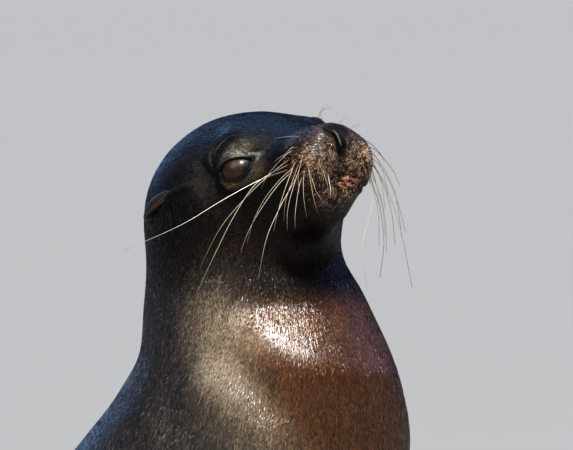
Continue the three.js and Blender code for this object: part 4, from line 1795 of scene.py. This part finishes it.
    def piece(
        self,
        name: str,
        points: Rows,
        normals: Rows,
        colours: Rows,
        maps: Rows,
        material: bpy.types.Material,
    ) -> Object:
        """One piece of the coat.

        Args:
            name: The piece's name.
            points: Each tuft's root, left, right and tip.
            normals: The directions that they shade in.
            colours: Their colours.
            maps: Their places on the map.
            material: The coat's material.

        Returns:
            The piece.
        """
        sides = np.array([[0, 1, 2], [1, 3, 2], [0, 3, 1], [0, 2, 3]])
        count = len(points)
        corners = (np.arange(count)[:, None, None] * 4 + sides[None]).reshape(-1)
        mesh = bpy.data.meshes.new(name)
        mesh.vertices.add(count * 4)
        mesh.vertices.foreach_set("co", points.astype(np.float32).ravel())
        mesh.loops.add(len(corners))
        mesh.loops.foreach_set("vertex_index", corners.astype(np.int32))
        mesh.polygons.add(len(corners) // 3)
        mesh.polygons.foreach_set("loop_start", np.arange(0, len(corners), 3, dtype=np.int32))
        mesh.update(calc_edges=True)
        mesh.shade_smooth()
        mesh.normals_split_custom_set_from_vertices(normals.reshape(-1, 3).tolist())
        set_colours(mesh, "coat", colours.reshape(-1, 3))
        layer = mesh.uv_layers.new(name="OFBake")
        layer.data.foreach_set("uv", maps.reshape(-1, 2)[corners].astype(np.float32).ravel())
        mesh.materials.append(material)
        piece = new_object(name, mesh)
        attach(piece, BODY)
        return piece

    def material(self, name: str, gloss: float) -> bpy.types.Material:
        """Wet hair: dark, glossy and a little uneven."""
        shader = Shader(name).set(Roughness=0.34, Specular_IOR_Level=gloss)
        shader.mottle("coat", 300.0, 2.0, 0.25)
        return shader.material


# ------ horns and hairs


@dataclass
class Bundle:
    """Many small closed forms joined into one mesh, each vertex with its colour.

    Attributes:
        name: The mesh's name.
        points: Rows of places, one array for each ring.
        faces: The corners of each face.
        tones: The colours of the places.
        count: How many places there are so far.
    """

    name: str
    points: list[Rows] = field(default_factory=list)
    faces: list[tuple[int, ...]] = field(default_factory=list)
    tones: list[Rows] = field(default_factory=list)
    count: int = 0

    def loft(self, rings: Sequence[Rows], tones: Sequence[Rows]) -> None:
        """Adds a closed form through rings of points.

        Args:
            rings: The rings, all with the same number of points.
            tones: The colour of each ring, or of each of its points.
        """
        sides = len(rings[0])
        for ring, tone in zip(rings, tones):
            self.points.append(np.asarray(ring))
            self.tones.append(np.broadcast_to(tone, (sides, 3)))
        last = self.count + (len(rings) - 1) * sides
        for j in range(sides):
            k = (j + 1) % sides
            for i in range(len(rings) - 1):
                a = self.count + i * sides
                self.faces.append((a + j, a + k, a + sides + k, a + sides + j))
        self.faces.append(tuple(self.count + j for j in reversed(range(sides))))
        self.faces.append(tuple(last + j for j in range(sides)))
        self.count += len(rings) * sides

    def tube(self, path: Rows, radii: Rows, tones: Rows, sides: int = 6) -> None:
        """Adds a round, tapered hair or horn.

        Args:
            path: The points of its middle line.
            radii: Its radius at each of them.
            tones: Its colour at each of them.
            sides: How many sides it has.
        """
        ahead = unit(np.gradient(path, axis=0))
        across = unit(np.cross(ahead, unit(np.array([[0.31, 0.17, 0.94]]))))
        over = np.cross(ahead, across)
        turn = np.arange(sides)[:, None] * 2 * math.pi / sides
        rings = [
            middle + radius * (np.cos(turn) * a + np.sin(turn) * b)
            for middle, radius, a, b in zip(path, radii, across, over)
        ]
        self.loft(rings, tones)

    def build(self, material: bpy.types.Material, *nodes: str, slot: str) -> Object:
        """Makes the object.

        Args:
            material: Its material, which reads the colours from the attribute tone.
            nodes: The solids that it takes the place of.
            slot: Not used.

        Returns:
            The object.
        """
        mesh = mesh_from(self.name, np.vstack(self.points), self.faces)
        set_colours(mesh, "tone", np.vstack(self.tones))
        thing = new_object(self.name, mesh)
        mesh.materials.append(material)
        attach(thing, BODY)
        if nodes:
            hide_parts(*nodes)
        return thing


@dataclass(frozen=True)
class Horn:
    """What hairs and claws are made of: glossy and a little mottled.

    Attributes:
        name: The material's name.
        roughness: Its roughness.
        streaks: How much lighter and darker its blotches are, as a share.
    """

    name: str
    roughness: float = 0.3
    streaks: float = 0.25

    def make(self) -> bpy.types.Material:
        """The material."""
        shader = Shader(self.name).set(Roughness=self.roughness, Specular_IOR_Level=0.55)
        shader.mottle("tone", 700.0, 2.0, self.streaks)
        return shader.material


@dataclass(frozen=True)
class Whisker:
    """One whisker.

    Attributes:
        root: Where it grows, in the head's frame on the animal's own side, in millimetres.
        bends: Where it passes, in millimetres to the right of its root and above it as the camera sees it.
        stands: How far its tip stands towards the camera, as a share of its length.
        thick: Its radius at the root in millimetres.
        pale: How pale it is, from 0 to 1.
    """

    root: Point
    bends: tuple[tuple[float, float], ...]
    stands: float = 0.25
    thick: float = 0.45
    pale: float = 0.7


@dataclass
class Whiskers:
    """The whiskers of both pads, and the few stiff hairs over the eyes.

    Attributes:
        near: The long whiskers on the animal's right.
        far: The long ones on its left that show past the muzzle.
        brows: The short hairs over the eyes and on the nose.
        amber: A whisker's colour near its root.
        cream: The colour of its pale part.
        dusk: The colour of a dark one.
        steps: How many short stretches each span of a hair has.
    """

    near: tuple[Whisker, ...] = (
        Whisker((104, -38, -1), ((-26, -10), (-57, -27), (-92, -48), (-141, -70)), 0.30, 0.46, 1.0),
        Whisker((109, -37, 7), ((-25, -21), (-48, -45), (-62, -64), (-77, -94)), 0.25, 0.50, 0.5),
        Whisker((107, -38, 3), ((-28, -17), (-47, -45), (-64, -79), (-80, -113)), 0.28, 0.50, 0.6),
        Whisker((110, -37, -4), ((-13, -13), (-26, -31), (-37, -50), (-45, -70)), 0.25, 0.45, 0.7),
        Whisker((113, -36, -10), ((-8, -14), (-16, -29), (-27, -55), (-34, -90)), 0.25, 0.50, 0.8),
        Whisker((117, -36, 2), ((-5, -13), (-10, -27), (-15, -43), (-19, -61)), 0.22, 0.45, 0.7),
        Whisker((117.5, -35, -6), ((-4, -12), (-8, -26), (-10, -38), (-10, -52)), 0.22, 0.42, 0.7),
        Whisker((117, -33, -11.5), ((-3, -11), (-5, -24), (-6, -34), (-6, -45)), 0.20, 0.42, 0.75),
        Whisker((125, -32, 5), ((-2, -8), (-4, -17), (-4, -26), (-3, -34)), 0.2, 0.36, 0.6),
        Whisker((127, -30, -3), ((1, -11), (3, -23), (5, -33), (8, -44)), 0.2, 0.36, 0.6),
        Whisker((124, -29, -11), ((3, -9), (5, -15), (8, -20), (10, -23)), 0.2, 0.34, 0.7),
        Whisker((123, -17, -12), ((1, -6), (2, -12), (2, -17), (2, -21)), 0.2, 0.40, 1.0),
        Whisker((119, -33, 14), ((-5, 0), (-10, -5), (-16, -9), (-21, -13)), 0.3, 0.34, 0.5),
        Whisker((122, -29, 18), ((-3, 4), (-8, 5), (-16, 4), (-24, 3)), 0.3, 0.30, 0.5),
        Whisker((114, -35, 14), ((-6, -4), (-14, -12), (-22, -22), (-28, -34)), 0.3, 0.36, 0.5),
        Whisker((112, -37, -2), ((-12, -11), (-24, -26), (-34, -45), (-40, -66)), 0.24, 0.42, 0.5),
        Whisker((120, -35, -1), ((-4, -11), (-9, -24), (-12, -36), (-13, -50)), 0.22, 0.40, 0.5),
        Whisker((122, -32, -8), ((-1, -9), (-1, -20), (0, -30), (2, -41)), 0.2, 0.38, 0.6),
        Whisker((129, -21, -9), ((2, -7), (4, -13), (5, -18), (5, -22)), 0.2, 0.32, 0.6),
        Whisker((132, -23, 0), ((1, -7), (3, -13), (4, -19), (4, -24)), 0.2, 0.30, 0.5),
        Whisker((131, -24, 9), ((0, -6), (1, -12), (3, -17), (5, -21)), 0.2, 0.28, 0.4),
    )
    far: tuple[Whisker, ...] = (
        Whisker((121, 33, 16), ((8, -3), (14, -8), (19, -14), (22, -20)), -0.3, 0.40, 0.1),
        Whisker((119, 35, 10), ((12, -6), (22, -17), (28, -26), (32, -36)), -0.25, 0.42, 0.3),
        Whisker((118, 36, 6), ((12, -10), (22, -27), (28, -46), (32, -76)), -0.2, 0.48, 0.6),
        Whisker((117, 36, 2), ((13, -12), (22, -28), (29, -48), (34, -68)), -0.2, 0.46, 0.5),
        Whisker((118, 36, -3), ((12, -17), (20, -36), (29, -66), (38, -112)), -0.15, 0.52, 0.6),
        Whisker((118, 35, -8), ((6, -16), (11, -35), (13, -49), (14, -62)), -0.15, 0.46, 0.7),
        Whisker((117, 34, -14), ((5, -15), (10, -31), (13.5, -61), (10, -92)), -0.15, 0.50, 0.4),
        Whisker((116, 34, -16), ((4, -20), (0, -42), (-5, -62), (-1, -100)), 0.1, 0.30, 0.9),
        Whisker((124, 31, 2), ((6, -7), (11, -17), (14, -28), (16, -40)), -0.2, 0.36, 0.4),
        Whisker((125, 30, -6), ((4, -9), (8, -19), (10, -30), (11, -42)), -0.2, 0.34, 0.4),
        Whisker((127, 27, -12), ((3, -7), (5, -15), (6, -23), (6, -31)), -0.2, 0.32, 0.6),
        Whisker((113, 37, 3), ((10, -12), (19, -30), (25, -52), (28, -80)), -0.3, 0.44, 0.5),
        Whisker((110, 38, -4), ((8, -13), (15, -30), (19, -52), (20, -78)), -0.3, 0.44, 0.6),
        Whisker((111, 37, -12), ((6, -13), (10, -28), (12, -46), (12, -66)), -0.2, 0.40, 0.7),
        Whisker((131, 23, 6), ((3, -5), (6, -12), (8, -18), (9, -25)), -0.2, 0.28, 0.4),
        Whisker((132, 22, -3), ((2, -6), (4, -12), (5, -19), (5, -25)), -0.2, 0.28, 0.5),
    )
    brows: tuple[Whisker, ...] = (
        Whisker((66, 34, 52), ((1, 5), (4, 8), (8, 9), (11, 9)), 0.0, 0.22, 0.1),
        Whisker((62, 38, 50), ((-1, 5), (0, 9), (2, 12), (5, 14)), 0.0, 0.20, 0.1),
        Whisker((66, -36, 49), ((-2, 4), (-6, 7), (-11, 8), (-16, 7)), 0.1, 0.16, 0.1),
        Whisker((62, -40, 48), ((-3, 3), (-8, 5), (-13, 5), (-18, 3)), 0.1, 0.16, 0.1),
        Whisker((120, 17, 32), ((1, 3), (3, 5), (5, 7), (8, 8)), 0.0, 0.16, 0.1),
        Whisker((126, 24, 25), ((2, 3), (4, 4), (7, 5), (9, 5)), 0.0, 0.16, 0.1),
    )
    amber: Colour = (0.20, 0.105, 0.045)
    cream: Colour = (0.76, 0.68, 0.54)
    dusk: Colour = (0.028, 0.022, 0.020)
    steps: int = 9

    def build(self, skin: BVHTree) -> Object:
        """All the hairs as one mesh, each rooted in the skin."""
        bundle = Bundle("whiskers")
        view = View()
        back, right, up = view.axes()
        for hair in (*self.near, *self.far, *self.brows):
            root = HEAD.world([hair.root])[0]
            place, normal, _, _ = skin.find_nearest(Vector(root))
            root = np.array(place)
            reach = math.hypot(*hair.bends[-1])
            bends = []
            for across, above in hair.bends:
                share = math.hypot(across, above) / reach
                stand = hair.stands * reach * share * (1.6 - 0.6 * share)
                bends.append(root + (across * right + above * up + stand * back) * MM)
            inner = root - np.array(normal) * 2.5 * MM
            path = smooth_line([inner, root + 0.15 * (bends[0] - root), *bends], self.steps)
            along = np.linspace(0.0, 1.0, len(path))
            radii = 1.1 * hair.thick * MM * (1.0 - 0.68 * along)
            light = hair.pale * smoothstep(0.06, 0.30, along)[:, None]
            tones = np.array(self.dusk) * (1 - light) + np.array(self.cream) * light
            warm = (0.75 * np.exp(-(((along - 0.16) / 0.13) ** 2)) + 0.7 * (1 - hair.pale) * along)[:, None]
            tones = tones * (1 - warm) + np.array(self.amber) * warm
            tones = tones * (1.0 - 0.55 * smoothstep(0.70, 1.0, along))[:, None]
            bundle.tube(path, radii, tones)
        return bundle.build(Horn("whisker", 0.28, 0.15).make(), slot="muzzle")


@dataclass
class Ear:
    """A small rolled ear that lies back along the head, open below and outwards.

    Attributes:
        side: The animal's left or right.
        spine: The middle line of the left ear's roll, from inside the head to the tip, in the head's frame.
        height: Half the roll's height at its widest, in millimetres.
        depth: Half its depth there.
        wall: How thick the ear's wall is.
        roll: Where the roll starts and ends, in degrees from outwards over the top.
        rings: How many rings the roll has along its spine.
        strands: How many points each of its two faces has across.
    """

    side: str
    spine: tuple[Point, ...] = (
        *((2, 77.5, 22), (-10, 82, 21.5), (-24, 87, 19.5)),
        *((-40, 90.5, 15.5), (-55, 90.5, 10.5)),
    )
    height: float = 6.4
    depth: float = 4.0
    wall: float = 1.1
    roll: tuple[float, float] = (-26.0, 288.0)
    rings: int = 26
    strands: int = 20

    def build(self) -> Object:
        """The ear, with a tawny inside that turns near-black towards its root as painted shade in its
        opening.
        """
        mirror = np.array([1.0, MIRROR[self.side], 1.0])
        spine = smooth_line(self.spine, 8)
        share = np.linspace(0.0, 1.0, len(spine))
        stations = np.linspace(0.0, 1.0, self.rings)
        middles = np.column_stack([np.interp(stations, share, spine[:, k]) for k in range(3)])
        ahead = unit(np.gradient(middles, axis=0))
        up = unit(np.array([[0.12, 0.0, 1.0]]) - (ahead @ [0.12, 0.0, 1.0])[:, None] * ahead)
        out = np.cross(ahead, up)
        out *= np.sign(out[:, 1:2])
        angles = np.radians(np.linspace(*self.roll, self.strands))
        bundle = Bundle(f"ear_{self.side}_pinna")
        rings, tones = [], []
        crown, tawny, hollow = (np.array(c) for c in (TONES.crown, TONES.rust, TONES.rim))
        for t, middle, u, o in zip(stations, middles, up, out):
            size = math.sqrt(max(1.0 - t**2.6, 0.0)) * (0.80 + 0.25 * math.sin(math.pi * t)) + 0.06
            size *= 0.16 + 0.84 * float(smoothstep(0.06, 0.72, np.array(t)))
            tight = 1.0 + 0.25 * t
            outer, inner = [], []
            for angle in angles:
                lip = 1.0 + 0.10 * math.exp(-((angle - angles[0]) / 0.35) ** 2)
                c, s = math.cos(angle * tight), math.sin(angle * tight)
                outer.append(middle + size * lip * (self.depth * c * o + self.height * s * u))
                inside = max(size - self.wall / self.height, 0.12 * size) * lip
                inner.append(middle + inside * (self.depth * 0.86 * c * o + self.height * s * u))
            rings.append(HEAD.world(np.array(outer + inner[::-1]) * mirror))
            # Painted shade: the lining turns near-black towards the root, where the ear opens.
            dark = 1.0 - float(smoothstep(0.20, 0.50, np.array(t)))
            lining = tawny * (1 - dark) + hollow * dark
            edges = smoothstep(0.90, 1.0, np.abs(np.linspace(-1.0, 1.0, self.strands)))[:, None]
            # The outside takes the crown's tone, with its painted blue sky tint.
            outside = crown + (tawny - crown) * edges
            tones.append(np.vstack([outside, np.tile(lining, (self.strands, 1))]))
        bundle.loft(rings, tones)
        ear = bundle.build(self.material(), f"ear_{self.side}", slot="crown")
        face_outwards(ear.data)
        smooth = ear.modifiers.new("round", "SUBSURF")
        smooth.levels = smooth.render_levels = 1
        return ear

    def material(self) -> bpy.types.Material:
        """Thin skin with the finest fur."""
        shader = Shader(f"ear_{self.side}").set(Roughness=0.45, Specular_IOR_Level=0.4)
        fine = shader.mottle("tone", 1500.0, 3.0, 0.4)
        shader.bump(fine, 0.4, 0.0005)
        return shader.material


@dataclass
class Claws:
    """The claws of one hind foot, which take the place of their solids.

    Attributes:
        side: The animal's left or right.
        digits: Which toes have one.
        radius: How thick a claw is at its root, in metres.
        horn: Its colour at the root.
        worn: Its colour at the tip.
    """

    side: str
    digits: tuple[int, ...] = (2, 3, 4)
    horn: Colour = (0.030, 0.024, 0.020)
    worn: Colour = (0.16, 0.12, 0.085)
    radius: float = 0.0026

    def build(self) -> Object:
        """The claws as one mesh."""
        bundle = Bundle(f"claws_{self.side}")
        foot = box_centre(f"hind_flipper_{self.side}")
        for digit in self.digits:
            points = mesh_points(bpy.data.objects[f"hind_claw_{digit}_{self.side}"].data)
            middle = points.mean(0)
            ahead = np.linalg.svd(points - middle, full_matrices=False)[2][0]
            ahead = ahead * np.sign((middle - foot) @ ahead)
            along = (points - middle) @ ahead
            root, tip = middle + ahead * along.min(), middle + ahead * along.max()
            rise = np.array([0.0, 0.0, 1.0])
            path = smooth_line([root - ahead * 0.002, root + 0.001 * rise, middle + 0.0009 * rise, tip], 8)
            share = np.linspace(0.0, 1.0, len(path))
            radii = self.radius * (1.0 - 0.86 * share**1.6)
            pale = (0.7 * smoothstep(0.55, 1.0, share))[:, None]
            bundle.tube(path, radii, np.array(self.horn) * (1 - pale) + np.array(self.worn) * pale, 12)
        nodes = [f"hind_claw_{digit}_{self.side}" for digit in self.digits]
        return bundle.build(Horn(f"claw_{self.side}", 0.35, 0.3).make(), *nodes, slot="claw")


# ------ camera and lights


@dataclass(frozen=True)
class View:
    """The camera: a long lens, low, from ahead of the animal's right side.

    Attributes:
        azimuth: The camera's bearing, in degrees.
        elevation: Its height over the horizon, in degrees.
        distance: How far it stands from the head, in metres.
        width: How wide the picture is at the head, in metres.
        eye_at: Where in the picture the near eye's middle is, in pixels.
        size: The picture's width and height, in pixels.
        sensor: The width of the camera's sensor, in millimetres.
    """

    azimuth: float = 40.0
    elevation: float = 5.0
    distance: float = 6.0
    width: float = 0.5
    eye_at: tuple[float, float] = (241.7, 172.0)
    size: tuple[int, int] = (573, 450)
    sensor: float = 36.0

    def direction(self, azimuth: float, elevation: float) -> Rows:
        """The direction towards a bearing and a height, both in degrees."""
        a, e = math.radians(azimuth), math.radians(elevation)
        return np.array([math.sin(a) * math.cos(e), -math.cos(a) * math.cos(e), math.sin(e)])

    def axes(self) -> tuple[Rows, Rows, Rows]:
        """The directions from the head back to the camera, to the picture's right, and up in it."""
        back = self.direction(self.azimuth, self.elevation)
        right = self.direction(self.azimuth + 90.0, 0.0)
        return back, right, np.cross(back, right)

    def build(self) -> Object:
        """The camera, aimed so that the near eye is in its place."""
        back, right, up = self.axes()
        pixel = self.width / self.size[0]
        across = (self.eye_at[0] - self.size[0] / 2) * pixel
        above = (self.size[1] / 2 - self.eye_at[1]) * pixel
        target = box_centre("eye_right") - across * right - above * up
        data = bpy.data.cameras.new("camera")
        data.sensor_width = self.sensor
        data.lens = self.sensor * self.distance / self.width
        data.clip_end = 500.0
        camera = new_object("camera", data)
        camera.location = target + back * self.distance
        turn_back_to(camera, back)
        bpy.context.scene.camera = camera
        return camera


class Lamp(Enum):
    """The kinds of light."""

    PANEL = "AREA"
    SUN = "SUN"


@dataclass(frozen=True)
class Light:
    """One soft light that looks at the animal.

    Attributes:
        name: Its name.
        azimuth: Its bearing, in degrees.
        elevation: Its height over the horizon, in degrees.
        power: Its power in watts, or in watts per square metre for a sun.
        colour: Its colour.
        side: How wide and high a panel is, in metres.
        spread: How wide a panel's beam is or how wide a sun looks, in degrees.
        distance: How far away it stands, in metres.
        lamp: Which kind it is.
    """

    name: str
    azimuth: float
    elevation: float
    power: float
    colour: Colour
    side: float = 2.0
    spread: float = 70.0
    distance: float = 4.0
    lamp: Lamp = Lamp.PANEL

    def build(self, target: Rows) -> None:
        """Puts the light in its place, turned to a target."""
        data = bpy.data.lights.new(self.name, self.lamp.value)
        data.energy = self.power
        data.color = self.colour
        if self.lamp is Lamp.SUN:
            data.angle = math.radians(self.spread)
        else:
            data.shape = "SQUARE"
            data.size = self.side
            data.spread = math.radians(self.spread)
        light = new_object(self.name, data)
        back = View().direction(self.azimuth, self.elevation)
        light.location = target + back * self.distance
        turn_back_to(light, back)


@dataclass
class Studio:
    """A plain pale floor under soft lights.

    Attributes:
        floor_size: How wide the floor is, in metres.
        floor_colour: Its colour.
        lights: The key and the soft lights round the animal.
        zenith: The colour of the sky overhead.
        horizon: Its colour low down.
    """

    floor_size: float = 400.0
    floor_colour: Colour = (0.334, 0.338, 0.341)
    lights: tuple[Light, ...] = (
        Light("key", 60.0, 63.0, 4.3, (1.0, 0.975, 0.93), spread=9.0, lamp=Lamp.SUN),
        Light("sky", 244.0, 60.0, 11.0, (0.22, 0.48, 1.0), side=2.8),
        Light("low_sky", 160.0, 24.0, 3.8, (0.45, 0.55, 1.0)),
        Light("left_sky", 248.0, 20.0, 5.0, (0.35, 0.60, 1.0)),
        Light("sand", -8.0, 42.0, 20.0, (1.0, 0.87, 0.70), side=3.0),
    )
    zenith: Colour = (0.04, 0.07, 0.15)
    horizon: Colour = (0.08, 0.10, 0.15)

    def build(self) -> None:
        """Lays the floor and sets the lights and the sky."""
        half = self.floor_size / 2
        corners = [(-half, -half, 0), (half, -half, 0), (half, half, 0), (-half, half, 0)]
        floor = new_object("floor", mesh_from("floor", np.array(corners), [(0, 1, 2, 3)]))
        shader = Shader("floor").set(Roughness=0.95, Specular_IOR_Level=0.1)
        shader.set(Base_Color=(*self.floor_colour, 1.0))
        floor.data.materials.append(shader.material)
        target = (box_centre("head") + box_centre("chest")) / 2
        for light in self.lights:
            light.build(target)
        self.sky()
        bpy.context.scene.view_settings.view_transform = "Standard"
        bpy.context.scene.view_settings.look = "High Contrast"

    def sky(self) -> None:
        """A sky that is pale at the horizon and blue overhead."""
        world = bpy.data.worlds.new("sky")
        world.use_nodes = True
        nodes, links = world.node_tree.nodes, world.node_tree.links
        place = nodes.new("ShaderNodeTexCoord")
        apart = nodes.new("ShaderNodeSeparateXYZ")
        ramp = nodes.new("ShaderNodeValToRGB")
        ramp.color_ramp.elements[0].color = (*self.horizon, 1.0)
        ramp.color_ramp.elements[1].color = (*self.zenith, 1.0)
        links.new(place.outputs["Generated"], apart.inputs[0])
        links.new(apart.outputs["Z"], ramp.inputs["Fac"])
        links.new(ramp.outputs["Color"], nodes["Background"].inputs["Color"])
        nodes["Background"].inputs["Strength"].default_value = 1.0
        bpy.context.scene.world = world


# ------ the animal


@dataclass
class SeaLion:
    """The whole animal: skin, eyes, coat, ears, claws and whiskers."""

    def skin(self) -> Object:
        """The skin with its folds, markings and material."""
        skin = Skin().build()
        Trunk().sculpt(skin)
        Face().sculpt(skin)
        mesh = skin.data
        points, normals = mesh_points(mesh), mesh_normals(mesh)
        colours, dry = Markings().at(points, normals)
        set_colours(mesh, "coat", colours)
        layer = mesh.attributes.new("dry", "FLOAT", "POINT")
        layer.data.foreach_set("value", dry.astype(np.float32))
        grain = mesh.attributes.new("grain", "FLOAT_VECTOR", "POINT")
        grain.data.foreach_set("vector", Lie().grain(points).astype(np.float32).ravel())
        for finish in Finish:
            mesh.materials.append(finish.value.make())
        middles = vectors(mesh.polygons, "center")
        scatter = Coat.face_blend * (np.random.default_rng(Coat.seed).random(len(middles)) - 0.5)
        dull = HEAD.away(middles) + scatter < Coat.face_reach
        finishes = np.where(dull, Finish.FACE.place, Finish.COAT.place).astype(np.int32)
        finishes[Markings().nose(HEAD.local(middles)) > 0.5] = Finish.NOSE.place
        mesh.polygons.foreach_set("material_index", finishes)
        mesh.shade_smooth()
        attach(skin, BODY)
        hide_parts(*FLESH)
        return skin


def main() -> None:
    """Builds the camera, the studio and the animal, and reports each piece."""
    logging.basicConfig(level=logging.INFO, format="%(name)s: %(message)s")
    View().build()
    Studio().build()
    animal = SeaLion()
    skin = animal.skin()
    LOG.info("%s: %d faces", skin.name, len(skin.data.polygons))
    tree = BVHTree.FromObject(skin, bpy.context.evaluated_depsgraph_get())
    for piece in Coat().build(skin, tree, Markings().bare(mesh_points(skin.data))):
        LOG.info("%s: %d faces", piece.name, len(piece.data.polygons))
    pieces = [make(side).build() for make in (Eye, Ear, Claws) for side in SIDES]
    pieces.append(Whiskers().build(tree))
    for piece in pieces:
        LOG.info("%s: %d faces", piece.name, len(piece.data.polygons))


if __name__ == "__main__":
    main()
